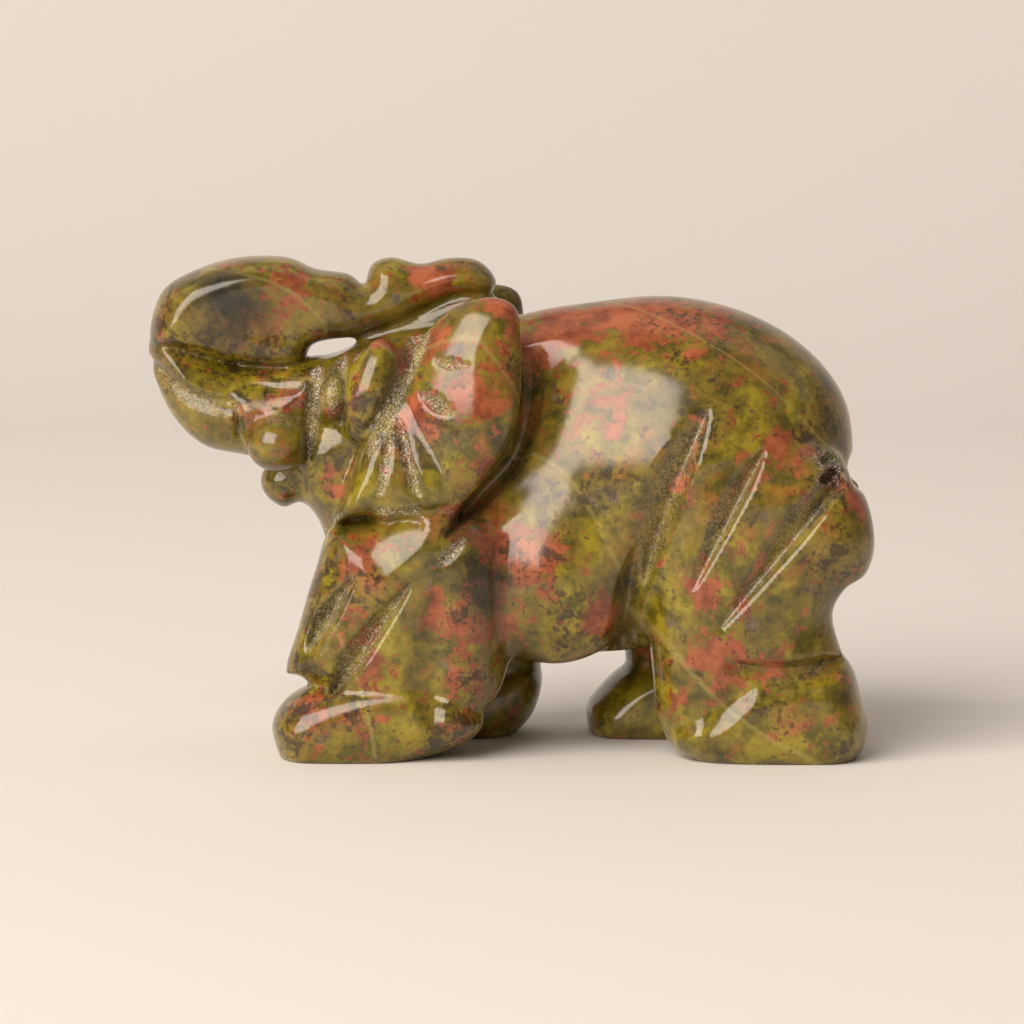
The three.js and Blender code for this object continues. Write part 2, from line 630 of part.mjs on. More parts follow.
// A heap that gives back the entry of least cost.
class Queue {
  entries = [];

  push(entry) {
    const { entries } = this;
    let at = entries.length;
    entries.push(entry);
    while (at > 0) {
      const parent = (at - 1) >> 1;
      if (entries[parent].cost <= entry.cost) {
        break;
      }
      entries[at] = entries[parent];
      at = parent;
    }
    entries[at] = entry;
  }

  pop() {
    const { entries } = this;
    const top = entries[0];
    const last = entries.pop();
    if (entries.length > 0) {
      let at = 0;
      for (;;) {
        let child = 2 * at + 1;
        if (child + 1 < entries.length && entries[child + 1].cost < entries[child].cost) {
          child += 1;
        }
        if (child >= entries.length || entries[child].cost >= last.cost) {
          break;
        }
        entries[at] = entries[child];
        at = child;
      }
      entries[at] = last;
    }
    return top;
  }
}

class Thinner {
  constructor({ vertices, indices }) {
    this.vertices = vertices;
    this.facets = [];
    this.around = vertices.map(() => new Set());
    this.errors = vertices.map(() => new Array(10).fill(0));
    this.age = new Int32Array(vertices.length);
    for (let n = 0; n < indices.length; n += 3) {
      const facet = indices.slice(n, n + 3);
      facet.forEach((v) => this.around[v].add(this.facets.length));
      this.facets.push(facet);
      this.addFacetError(facet);
    }
    this.left = this.facets.length;
    this.queue = new Queue();
    vertices.forEach((_, v) => this.neighbours(v).forEach((w) => v < w && this.offer(v, w)));
  }

  // A facet's normal, as long as twice its area, with one corner moved if asked.
  normal(facet, moved = -1, point = null) {
    const [a, b, c] = facet.map((v) => (v === moved ? point : this.vertices[v]));
    return b.clone().sub(a).cross(c.clone().sub(a));
  }

  addFacetError(facet) {
    const normal = this.normal(facet);
    const area = normal.length();
    if (area < TINY) {
      return;
    }
    const corner = this.vertices[facet[0]];
    const weight = area * (corner.x < HEAD_ENDS ? HEAD_CARE : 1);
    const unit = normal.divideScalar(area);
    const error = planeError(unit, -unit.dot(corner), weight);
    facet.forEach((v) => error.forEach((value, n) => (this.errors[v][n] += value)));
  }

  neighbours(v) {
    const found = new Set();
    this.around[v].forEach((f) => this.facets[f].forEach((w) => found.add(w)));
    found.delete(v);
    return found;
  }

  offer(a, b) {
    const error = this.errors[a].map((value, n) => value + this.errors[b][n]);
    const point = bestPoint(error, this.vertices[a], this.vertices[b]);
    const length = this.vertices[a].distanceToSquared(this.vertices[b]);
    const cost = errorAt(error, point) + 1e-4 * length;
    this.queue.push({ cost, a, b, point, error, ages: this.age[a] + this.age[b] });
  }

  // Whether a and b can meet at the point with the surface still one sheet and no facet turned over.
  canJoin({ a, b, point }) {
    const near = this.neighbours(b);
    const shared = [...this.neighbours(a)].filter((v) => near.has(v));
    if (shared.length !== 2) {
      return false;
    }
    const keepsFacing = (v, other) => [...this.around[v]].every((f) => {
      const facet = this.facets[f];
      if (facet.includes(other)) {
        return true;
      }
      const before = this.normal(facet);
      const after = this.normal(facet, v, point);
      return before.dot(after) > 0.3 * before.length() * after.length();
    });
    return keepsFacing(a, b) && keepsFacing(b, a);
  }

  join({ a, b, point, error }) {
    this.vertices[a].copy(point);
    this.errors[a] = error;
    this.age[a] += 1;
    this.age[b] = -FAR_AWAY;
    for (const f of [...this.around[b]]) {
      const facet = this.facets[f];
      if (facet.includes(a)) {
        facet.forEach((v) => this.around[v].delete(f));
        this.facets[f] = null;
        this.left -= 1;
      } else {
        facet[facet.indexOf(b)] = a;
        this.around[a].add(f);
      }
    }
    this.around[b].clear();
    this.neighbours(a).forEach((v) => this.offer(a, v));
  }

  thinTo(count) {
    while (this.left > count && this.queue.entries.length > 0) {
      const next = this.queue.pop();
      if (next.ages === this.age[next.a] + this.age[next.b] && this.canJoin(next)) {
        this.join(next);
      }
    }
  }

  toGeometry() {
    const geometry = new THREE.BufferGeometry();
    const facets = this.facets.filter((facet) => facet !== null);
    const corners = facets.flatMap((facet) => facet.flatMap((v) => this.vertices[v].toArray()));
    geometry.setAttribute("position", new THREE.Float32BufferAttribute(corners, 3));
    return mergeVertices(geometry);
  }
}

function facetFigure() {
  const thinner = new Thinner(fineFacets());
  thinner.thinTo(FACET_COUNT);
  return thinner.toGeometry();
}

// Solids.

const wasm = await Module();
wasm.setup();

function toSolid(geometry) {
  const bare = geometry.clone();
  bare.deleteAttribute("normal");
  bare.deleteAttribute("uv");
  const merged = mergeVertices(bare);
  return new wasm.Manifold(new wasm.Mesh({
    numProp: 3,
    vertProperties: new Float32Array(merged.attributes.position.array),
    triVerts: new Uint32Array(merged.index.array),
  }));
}

function toGeometry(solid) {
  const mesh = solid.getMesh();
  const geometry = new THREE.BufferGeometry();
  geometry.setAttribute("position", new THREE.Float32BufferAttribute(mesh.vertProperties, 3));
  geometry.setIndex(Array.from(mesh.triVerts));
  return geometry;
}

// The open window between the trunk's fold and the forehead, as a rounded bar through the figure.
const WINDOW = [[-27.5, 56], [-26.2, 54.9], [-23.8, 55.2], [-21.4, 56.6], [-22.2, 57.4], [-24.6, 57]];

function windowBar() {
  const shape = new THREE.Shape(smoothLoop(WINDOW).map(([x, z]) => new THREE.Vector2(x, z)));
  const bar = new THREE.ExtrudeGeometry(shape, { depth: 2 * REACHES[1], bevelEnabled: false });
  return bar.rotateX(Math.PI / 2).translate(0, REACHES[1], 0);
}

function floorBlock() {
  const block = new THREE.BoxGeometry(3 * REACHES[0], 3 * REACHES[1], REACHES[2]);
  return block.translate(0, 0, FLOOR - REACHES[2] / 2);
}

function elephantGeometry() {
  const cuts = [floorBlock(), windowBar()];
  const solid = cuts.reduce((stone, cut) => stone.subtract(toSolid(cut)), toSolid(facetFigure()));
  const geometry = toGeometry(solid);
  geometry.computeBoundingBox();
  const size = geometry.boundingBox.getSize(new THREE.Vector3());
  const middle = geometry.boundingBox.getCenter(new THREE.Vector3());
  geometry.translate(-middle.x, -middle.y, -geometry.boundingBox.min.z);
  geometry.scale(LENGTH / size.x, WIDTH / size.y, HEIGHT / size.z);
  geometry.computeVertexNormals();
  return geometry;
}

const stone = new THREE.MeshStandardMaterial({ color: 0x8f8a4e, roughness: 0.25, metalness: 0 });
const elephant = new THREE.Mesh(elephantGeometry(), stone);
elephant.name = "carved_elephant";

const group = new THREE.Group();
group.add(elephant);

export default group;
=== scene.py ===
"""Builds the looks of a small carved stone elephant, its trunk raised and folded back.

The figure is one piece of polished unakite. Its form is a distance to the surface, negative inside the
stone, in shares: hundredths of the figure's length. x runs from the trunk (-50) to the rump (+50), y
across, with the near side at -y, and z up from the soles. Limbs and masses are outlines of the side
view given a thickness, grooves lower the surface along lines, and the whole is meshed finely and
fitted to the CAD model's box.
"""

from __future__ import annotations

import logging
import math
from collections.abc import Mapping, Sequence
from dataclasses import dataclass
from enum import Enum

import bpy
import numpy as np
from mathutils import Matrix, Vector

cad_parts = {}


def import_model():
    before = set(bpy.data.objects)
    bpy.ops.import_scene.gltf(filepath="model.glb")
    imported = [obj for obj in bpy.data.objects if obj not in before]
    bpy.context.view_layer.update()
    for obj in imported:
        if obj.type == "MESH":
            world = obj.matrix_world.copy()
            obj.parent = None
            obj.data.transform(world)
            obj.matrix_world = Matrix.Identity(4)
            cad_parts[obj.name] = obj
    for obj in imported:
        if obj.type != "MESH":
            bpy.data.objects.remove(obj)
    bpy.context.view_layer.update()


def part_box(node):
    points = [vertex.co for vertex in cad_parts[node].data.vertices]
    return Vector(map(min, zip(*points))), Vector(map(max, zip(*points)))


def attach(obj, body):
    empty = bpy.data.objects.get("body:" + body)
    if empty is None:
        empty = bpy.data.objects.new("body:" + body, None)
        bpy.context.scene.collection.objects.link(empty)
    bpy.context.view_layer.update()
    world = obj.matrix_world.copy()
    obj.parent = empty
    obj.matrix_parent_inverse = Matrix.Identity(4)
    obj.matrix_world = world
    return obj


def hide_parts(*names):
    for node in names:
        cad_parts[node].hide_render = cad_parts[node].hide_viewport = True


log = logging.getLogger("carved_elephant")

CAD_NODE = "carved_elephant"

Array = np.ndarray
Point = tuple[float, float]
Points = Sequence[Point]
Triple = tuple[float, float, float]
Range = tuple[float, float]

# A slope below this counts as none, so that nothing is divided by zero.
NO_SLOPE = np.float32(1e-5)
# A cut's tips keep this share of its walls' width.
TIP_WIDTH = np.float32(0.2)
# A cut is fully gritty from this share of its depth.
GRITTY_FROM = 0.45


def smooth_loop(points: Points, steps: int = 5) -> Array:
    """Draws a closed smooth curve through points of the side view.

    Args:
        points: The (x, z) points that it passes through.
        steps: How many pieces each span is drawn in.

    Returns:
        The curve's own points, one row each.
    """
    through = np.array(points, float)
    t = (np.arange(steps) / steps)[:, None]
    spans = []
    for i in range(len(through)):
        a, b, c, d = (through[(i + k) % len(through)] for k in (-1, 0, 1, 2))
        spans.append(span(a, b, c, d, t))
    return np.vstack(spans).astype(np.float32)


def smooth_line(points: Points, steps: int = 5) -> Array:
    """Draws an open smooth curve through points of the side view.

    Args:
        points: The (x, z) points that it passes through.
        steps: How many pieces each span is drawn in.

    Returns:
        The curve's own points, one row each.
    """
    inner = np.array(points, float)
    through = np.vstack([2 * inner[0] - inner[1], inner, 2 * inner[-1] - inner[-2]])
    t = (np.arange(steps) / steps)[:, None]
    spans = [span(*through[i : i + 4], t) for i in range(len(inner) - 1)]
    return np.vstack([*spans, inner[-1:]]).astype(np.float32)


def span(a: Array, b: Array, c: Array, d: Array, t: Array) -> Array:
    """Bends from b to c on a cubic whose slopes come from the points on either side.

    Args:
        a: The point before b.
        b: Where the span starts.
        c: Where it ends.
        d: The point after c.
        t: Shares of the way from b to c.

    Returns:
        The points at those shares.
    """
    bend = 2 * a - 5 * b + 4 * c - d
    twist = 3 * b - a - 3 * c + d
    return 0.5 * (2 * b + (c - a) * t + bend * t**2 + twist * t**3)


def join(a: Array, b: Array, blend: float) -> Array:
    """Joins two distances with a fillet about as wide as blend."""
    h = np.maximum(blend - np.abs(a - b), 0) / np.float32(blend)
    return np.minimum(a, b) - h * h * np.float32(blend / 4)


def carve(a: Array, b: Array, blend: float) -> Array:
    """Cuts form b out of form a, with its rim eased by blend."""
    return -join(-a, b, blend)


def rise(start: float, end: float, value: Array) -> Array:
    """Rises smoothly from 0 at start to 1 at end."""
    t = np.clip((value - np.float32(start)) / np.float32(end - start), 0, 1)
    return t * t * (3 - 2 * t)


def mix(a: float, b: float, share: Array) -> Array:
    """Goes from a to b as share goes from 0 to 1."""
    return np.float32(a) + np.float32(b - a) * share


def beyond(start: float, value: Array) -> Array:
    """Rises evenly from 0 at start to 1 two shares further on."""
    return np.clip((value - start) / 2, 0, 1)


def line_distance(line: Array, x: Array, z: Array) -> tuple[Array, Array, Array]:
    """Measures from points of the side view to an open line.

    Args:
        line: The line's points.
        x: Where the points are along the figure.
        z: How high they are.

    Returns:
        The distance, the share of the way along the line, and a number whose sign is the side.
    """
    steps = np.diff(line, axis=0)
    lengths = np.sqrt((steps**2).sum(1))
    starts = np.concatenate([[0], np.cumsum(lengths)]) / lengths.sum()
    shape = np.broadcast_shapes(x.shape, z.shape)
    nearest = np.full(shape, np.inf, np.float32)
    along = np.zeros(shape, np.float32)
    side = np.zeros(shape, np.float32)
    for i, (ex, ez) in enumerate(steps):
        wx, wz = x - line[i][0], z - line[i][1]
        t = np.clip((wx * ex + wz * ez) / (ex * ex + ez * ez), 0, 1)
        distance = (wx - ex * t) ** 2 + (wz - ez * t) ** 2
        closer = distance < nearest
        nearest = np.where(closer, distance, nearest)
        along = np.where(closer, starts[i] + (starts[i + 1] - starts[i]) * t, along)
        side = np.where(closer, ex * wz - ez * wx, side)
    return np.sqrt(nearest), along.astype(np.float32), side


@dataclass(frozen=True)
class Slab:
    """An outline of the side view, given a thickness and domed towards its edges.

    The lengths are shares: hundredths of the figure's length. half is half the thickness, and margin
    is how far in from the edge the dome reaches.
    """

    outline: Points
    middle: float
    half: float
    margin: float

    def outline_distance(self, x: Array, z: Array) -> Array:
        """Measures from points of the side view to the outline, negative inside it.

        Args:
            x: Where the points are along the figure.
            z: How high they are.

        Returns:
            The distance at each point.
        """
        loop = smooth_loop(self.outline)
        shape = np.broadcast_shapes(x.shape, z.shape)
        nearest = np.full(shape, np.inf, np.float32)
        inside = np.zeros(shape, bool)
        for here, there in zip(loop, np.roll(loop, 1, axis=0)):
            ex, ez = there - here
            wx, wz = x - here[0], z - here[1]
            t = np.clip((wx * ex + wz * ez) / (ex * ex + ez * ez), 0, 1)
            nearest = np.minimum(nearest, (wx - ex * t) ** 2 + (wz - ez * t) ** 2)
            above, below, left = z >= here[1], z < there[1], ex * wz > ez * wx
            inside ^= (above & below & left) | (~above & ~below & ~left)
        return np.where(inside, -1, 1) * np.sqrt(nearest)

    def distance(
        self,
        x: Array,
        y: Array,
        z: Array,
        middle: Array | float | None = None,
        half: Array | float | None = None,
    ) -> Array:
        """Measures to the slab's surface, negative inside it.

        Args:
            x: Where the points are along the figure.
            y: Where they are across it.
            z: How high they are.
            middle: The slab's middle plane, where it isn't the same all over.
            half: Half its thickness, where that isn't the same all over.

        Returns:
            The distance at each point.
        """
        middle = np.float32(self.middle) if middle is None else middle
        half = np.float32(self.half) if half is None else half
        margin = np.float32(self.margin)
        edge = np.maximum(self.outline_distance(x, z) + margin, 0) / margin
        across = np.abs(y - middle) / half
        k0 = np.sqrt(edge**2 + across**2)
        k1 = np.sqrt((edge / margin) ** 2 + (across / half) ** 2)
        return np.where(k1 > NO_SLOPE, k0 * (k0 - 1) / np.maximum(k1, NO_SLOPE), -half)


@dataclass(frozen=True)
class Egg:
    """An ellipsoid that leans by an angle, in degrees, in the side view."""

    centre: Triple
    radii: Triple
    lean: float = 0.0

    def distance(self, x: Array, y: Array, z: Array) -> Array:
        """Measures to the ellipsoid's surface, negative inside it.

        Args:
            x: Where the points are along the figure.
            y: Where they are across it.
            z: How high they are.

        Returns:
            The distance at each point.
        """
        dx, dy, dz = (v - np.float32(c) for v, c in zip((x, y, z), self.centre))
        lean = math.radians(self.lean)
        c, s = np.float32(math.cos(lean)), np.float32(math.sin(lean))
        dx, dz = c * dx + s * dz, c * dz - s * dx
        rx, ry, rz = (np.float32(r) for r in self.radii)
        k0 = np.sqrt((dx / rx) ** 2 + (dy / ry) ** 2 + (dz / rz) ** 2)
        k1 = np.sqrt((dx / rx**2) ** 2 + (dy / ry**2) ** 2 + (dz / rz**2) ** 2)
        return k0 * (k0 - 1) / np.maximum(k1, NO_SLOPE)


@dataclass(frozen=True)
class Groove:
    """A leaf-shaped V cut along a line of the side view.

    Its two walls have their own widths, and it fades out over a share of its length at each end. Its
    grit is how rough the grinding left it, from 0, polished with the rest, to 1. A soft cut has a
    round bottom and round rims.
    """

    points: Points
    depth: float
    left: float
    right: float
    fade: Point = (0.3, 0.3)
    grit: float = 1.0
    soft: bool = False

    def lowering(self, x: Array, z: Array) -> Array:
        """Lowers the surface at points of the side view.

        Args:
            x: Where the points are along the figure.
            z: How high they are.

        Returns:
            How far the cut lowers each point.
        """
        line = smooth_line(self.points)
        away, along, side = line_distance(line, x, z)
        ends = np.minimum(along / self.fade[0], (1 - along) / self.fade[1])
        taper = np.sqrt(np.clip(ends, 0, 1)).astype(np.float32)
        wall = np.where(side > 0, np.float32(self.left), np.float32(self.right))
        wall = wall * np.maximum(taper, TIP_WIDTH)
        share = np.maximum(0, 1 - away / wall)
        share = share * share * (3 - 2 * share) if self.soft else share
        return np.float32(self.depth) * taper * share


def deepest(grooves: Sequence[Groove], x: Array, z: Array) -> Array:
    """Gives the deepest of several cuts at points of the side view.

    Args:
        grooves: The cuts.
        x: Where the points are along the figure.
        z: How high they are.

    Returns:
        How far the cuts lower each point.
    """
    depth = grooves[0].lowering(x, z)
    for groove in grooves[1:]:
        depth = np.maximum(depth, groove.lowering(x, z))
    return depth


def grittiest(grooves: Sequence[Groove], x: Array, z: Array) -> Array:
    """Gives how gritty several cuts leave points of the side view, from 0 to 1."""
    return np.max(
        [
            groove.grit * np.clip(groove.lowering(x, z) / (GRITTY_FROM * groove.depth), 0, 1)
            for groove in grooves
        ],
        axis=0,
    )


@dataclass(frozen=True)
class BodyForm:
    """The barrel of the body, narrower at the neck, its belly and its tail."""

    torso: Slab = Slab(
        outline=(
            (-22, 33), (-20, 43), (-12, 54), (0, 60), (11, 62.2), (22, 63.05), (32, 60.9),
            (40, 56.4), (45.3, 50.2), (47, 43.5), (46, 36), (38, 24), (26, 16), (12, 13.7), (0, 14),
            (-10, 17), (-18, 24),
        ),
        middle=0,
        half=19.6,
        margin=25,
    )
    neck_half: float = 14.4
    widening: Range = (-4, 30)
    belly: Egg = Egg(centre=(6, 11, 24.5), radii=(11, 6.8, 11))
    belly_blend: float = 5.0
    tail: Egg = Egg(centre=(45.2, 0, 32), radii=(2.8, 2.6, 9.5), lean=-4)
    tail_blend: float = 1.5

    def distance(self, x: Array, y: Array, z: Array) -> Array:
        """Measures to the body's surface.

        Args:
            x: Where the points are along the figure.
            y: Where they are across it.
            z: How high they are.

        Returns:
            The distance at each point.
        """
        half = mix(self.neck_half, self.torso.half, rise(*self.widening, x))
        form = self.torso.distance(x, y, z, half=half)
        form = join(form, self.belly.distance(x, np.abs(y), z), self.belly_blend)
        return join(form, self.tail.distance(x, y, z), self.tail_blend)


@dataclass(frozen=True)
class LegForm:
    """A leg and its foot, with how softly they join the body and each other."""

    leg: Slab
    foot: Slab
    leg_blend: float = 2.0
    foot_blend: float = 0.9

    def joined_to(self, form: Array, x: Array, y: Array, z: Array) -> Array:
        """Joins the leg and its foot to a form."""
        form = join(form, self.leg.distance(x, y, z), self.leg_blend)
        return join(form, self.foot.distance(x, y, z), self.foot_blend)


NEAR_FORELEG = LegForm(
    leg=Slab(
        outline=(
            (-23.5, 33), (-26.4, 26.5), (-28.8, 18.5), (-30.5, 12.6), (-28.3, 11.6), (-22, 7), (-8, 5),
            (-2.6, 8), (-0.3, 13), (1, 22), (-2, 34), (-13, 38),
        ),
        middle=-11.2, half=8.4, margin=8.5,
    ),
    foot=Slab(
        outline=(
            (-32.3, 3.6), (-31.5, 7.4), (-27.6, 10.4), (-18, 13), (-8, 12), (-3.6, 6.5), (-5.5, 3),
            (-12, 0.3), (-18, -2), (-29, -1.6),
        ),
        middle=-11.2, half=8.8, margin=5,
    ),
)
NEAR_HIND_LEG = LegForm(
    leg=Slab(
        outline=(
            (18.1, 27), (18.7, 20.5), (19.4, 13), (20.2, 6), (24, 2), (36, 2), (46, 5), (47.3, 9.6),
            (45.2, 15.2), (43.9, 20.3), (45.5, 23.8), (48.4, 26), (49.55, 30), (48.8, 35), (47, 38.5),
            (43, 43), (34, 44.5), (24.5, 42), (20, 35),
        ),
        middle=-11.2, half=8.4, margin=9,
    ),
    foot=Slab(
        outline=(
            (21.6, 3.4), (23.4, 8.2), (28, 12), (37, 14), (45.3, 14.4), (47.8, 9.4), (48.8, 4.4),
            (47.2, 0.6), (43, -1.6), (32, -1.6), (25, 0.3),
        ),
        middle=-11.2, half=9, margin=5,
    ),
)
FAR_FORELEG = LegForm(
    leg=Slab(
        outline=(
            (-20, 33), (-19, 22), (-16.5, 12), (-12, 8), (-2, 6), (3.6, 10), (4, 16), (5, 24), (0, 36),
            (-12, 38),
        ),
        middle=11.2, half=8.2, margin=8,
    ),
    foot=Slab(
        outline=(
            (-17, 4), (-15, 8.5), (-9, 11), (1, 11.5), (4.1, 9.5), (3.2, 4.2), (0.5, 0.8), (-3, -1.6),
            (-14, -1.6),
        ),
        middle=11.2, half=8.4, margin=5,
    ),
)
FAR_HIND_LEG = LegForm(
    leg=Slab(
        outline=(
            (12, 30), (13, 22), (15.5, 14), (17, 8), (24, 4), (34, 5), (39, 10), (40, 18), (44, 27),
            (46.5, 34), (44, 46), (32, 52), (20, 44),
        ),
        middle=11.2, half=8.6, margin=9,
    ),
    foot=Slab(
        outline=(
            (10.4, 3.6), (12.3, 7.3), (17, 11), (25, 13), (35, 12), (39.5, 8), (38.5, 2), (34, -1.6),
            (14, -1.6),
        ),
        middle=11.2, half=8.8, margin=5,
    ),
)
NEAR_CUTS = (
    Groove(((26.8, 49), (22.8, 39.4), (19.4, 29.5), (18.2, 24)), 2.3, 1.8, 3.6, (0.35, 0.3), 0.3),
    Groove(((34.6, 43.6), (29.6, 34), (24.8, 24.4)), 1.9, 0.8, 2.6, (0.3, 0.5), 0.4),
    Groove(((45.6, 40), (36.5, 29), (27.8, 18.6)), 2.4, 1.0, 3.3, (0.1, 0.6), 0.4),
    Groove(((28.8, 14.8), (36, 13.7), (45, 14.6)), 1.6, 1.4, 2.8, (0.4, 0.15), 0.1),
    Groove(((17.4, 31), (16.2, 24), (15.4, 18), (16.0, 11)), 2.0, 2.2, 2.0, (0.3, 0.05), 0.1),
    Groove(((-20.6, 26.4), (-23.8, 21.6), (-27.4, 15.6)), 2.6, 1.2, 1.8, (0.5, 0.4), 0.9),
    Groove(((-13, 25.6), (-18.6, 17.8), (-24.2, 9.6)), 3.0, 1.4, 2.4, (0.6, 0.3), 0.9),
    Groove(((-9.4, 25), (-10.6, 16), (-10.2, 5)), 1.3, 4.6, 4.2, (0.5, 0.4), 0.0, soft=True),
    Groove(((1.6, 34), (-0.6, 26), (-2.4, 16)), 0.5, 4.4, 3.6, (0.4, 0.4), 0.0, soft=True),
    Groove(((-23.4, 33.4), (-18, 34), (-11, 33.6)), 2.0, 1.5, 8.0, (0.4, 0.45), 0.0),
    Groove(((-5.6, 31.6), (-9.8, 27.6)), 0.9, 1.0, 1.0, (0.5, 0.5)),
    Groove(((33.0, 12.0), (29.8, 8.6), (26.4, 4.6)), 0.8, 2.2, 3.4, (0.3, 0.4), 0.0, soft=True),
)
FAR_CUTS = (
    Groove(((24, 46), (18.6, 36), (15.4, 27)), 2.0, 2.2, 3.2, (0.35, 0.3)),
    Groove(((33, 42), (27.5, 32), (22, 22)), 1.7, 1.2, 2.8, (0.3, 0.5)),
    Groove(((43.5, 38), (34.5, 27), (26, 17)), 2.0, 1.4, 3.2, (0.2, 0.6)),
    Groove(((20, 12.6), (28, 12), (36, 12.6)), 1.3, 1.2, 2.4, (0.4, 0.2)),
    Groove(((-8, 26), (-12, 18), (-15.4, 11)), 1.8, 1.4, 2.4, (0.6, 0.2)),
)
RUMP_PITS = (
    Egg(centre=(46.4, -13.8, 44.6), radii=(1.5, 3.0, 1.6), lean=-24),
    Egg(centre=(44.2, -14.8, 42.0), radii=(2.4, 2.8, 0.9), lean=10),
    Egg(centre=(43.0, -15.6, 39.7), radii=(1.6, 2.6, 0.9), lean=24),
)


@dataclass(frozen=True)
class TrunkForm:
    """The trunk: it swells from the face, curls up and folds back to lie over the forehead.

    The fold thins to tip_half along the range thinning, and a sloping facet flattens the front of its
    top. A blend is how wide the fillet is where two forms join.
    """

    base: Slab = Slab(
        outline=(
            (-49.75, 57), (-49.3, 52.4), (-46.7, 46.5), (-42.6, 42.5), (-37.5, 41.2), (-31, 40.5),
            (-26, 44), (-24, 50), (-25.4, 54.2), (-29, 54.6), (-33, 53.8), (-39, 54.3), (-46, 58),
        ),
        middle=0, half=8.8, margin=11,
    )
    fold: Slab = Slab(
        outline=(
            (-49.75, 57), (-48.3, 63.3), (-44, 66.4), (-37.5, 68.35), (-31, 68.4), (-27, 66.8),
            (-22.5, 66.1), (-20.3, 64.7), (-19.2, 67.4), (-16.5, 68.4), (-12.5, 67.5), (-8.5, 68.3),
            (-4.5, 67.9), (-2.1, 65.2), (-3.5, 63.1), (-8.5, 62.5), (-15, 59), (-21.5, 57.1),
            (-24.8, 57), (-27.4, 56.2), (-29, 53.8), (-33, 53.1), (-41, 54.3), (-47, 55.5),
        ),
        middle=0, half=7.6, margin=3.8,
    )
    web: Slab = Slab(
        outline=((-20.8, 58), (-14, 61), (-5, 64), (0, 60), (-10, 57), (-18, 56)),
        middle=0, half=3.4, margin=2.4,
    )
    hollow: Egg = Egg(centre=(-31.5, 13.2, 58.2), radii=(10.0, 7.4, 6.2), lean=8)
    cuts: tuple[Groove, ...] = (
        Groove(
            ((-50, 55), (-45.6, 51.4), (-41.4, 49.4), (-37.4, 48.6)),
            1.4, 1.0, 2.6, (0.5, 0.06), 0.4,
        ),
        Groove(((-37.3, 48.8), (-37, 46), (-37.2, 43)), 1.0, 0.9, 0.9, (0.1, 0.5), 0.4),
        Groove(((-36.6, 51.4), (-32, 50.6), (-27.6, 51)), 0.4, 0.9, 0.7, (0.3, 0.2), 0.1),
        Groove(((-35.2, 47.1), (-32, 46.9), (-28, 46.4)), 0.7, 0.7, 0.9, (0.4, 0.2), 0.5),
    )
    tip_half: float = 4.8
    thinning: Range = (-42, -8)
    facet_at: Point = (-41, 68)
    facet_slope: Point = (0.33, 0.19)
    hollow_blend: float = 3.0
    fold_blend: float = 0.3
    web_blend: float = 1.0

    def distance(self, x: Array, y: Array, z: Array) -> Array:
        """Measures to the trunk's surface.

        Args:
            x: Where the points are along the figure.
            y: Where they are across it.
            z: How high they are.

        Returns:
            The distance at each point.
        """
        base = self.base.distance(x, y, z) + deepest(self.cuts, x, z)
        (at_x, at_z), (along, up) = self.facet_at, self.facet_slope
        facet = np.maximum(np.float32(up) * (z - at_z) - np.float32(along) * (x - at_x), 0)
        half = mix(self.fold.half, self.tip_half, rise(*self.thinning, x)) - facet
        fold = self.fold.distance(x, y, z, half=half)
        fold = carve(fold, self.hollow.distance(x, np.abs(y), z), self.hollow_blend)
        trunk = join(base, fold, self.fold_blend)
        return join(trunk, self.web.distance(x, y, z), self.web_blend)


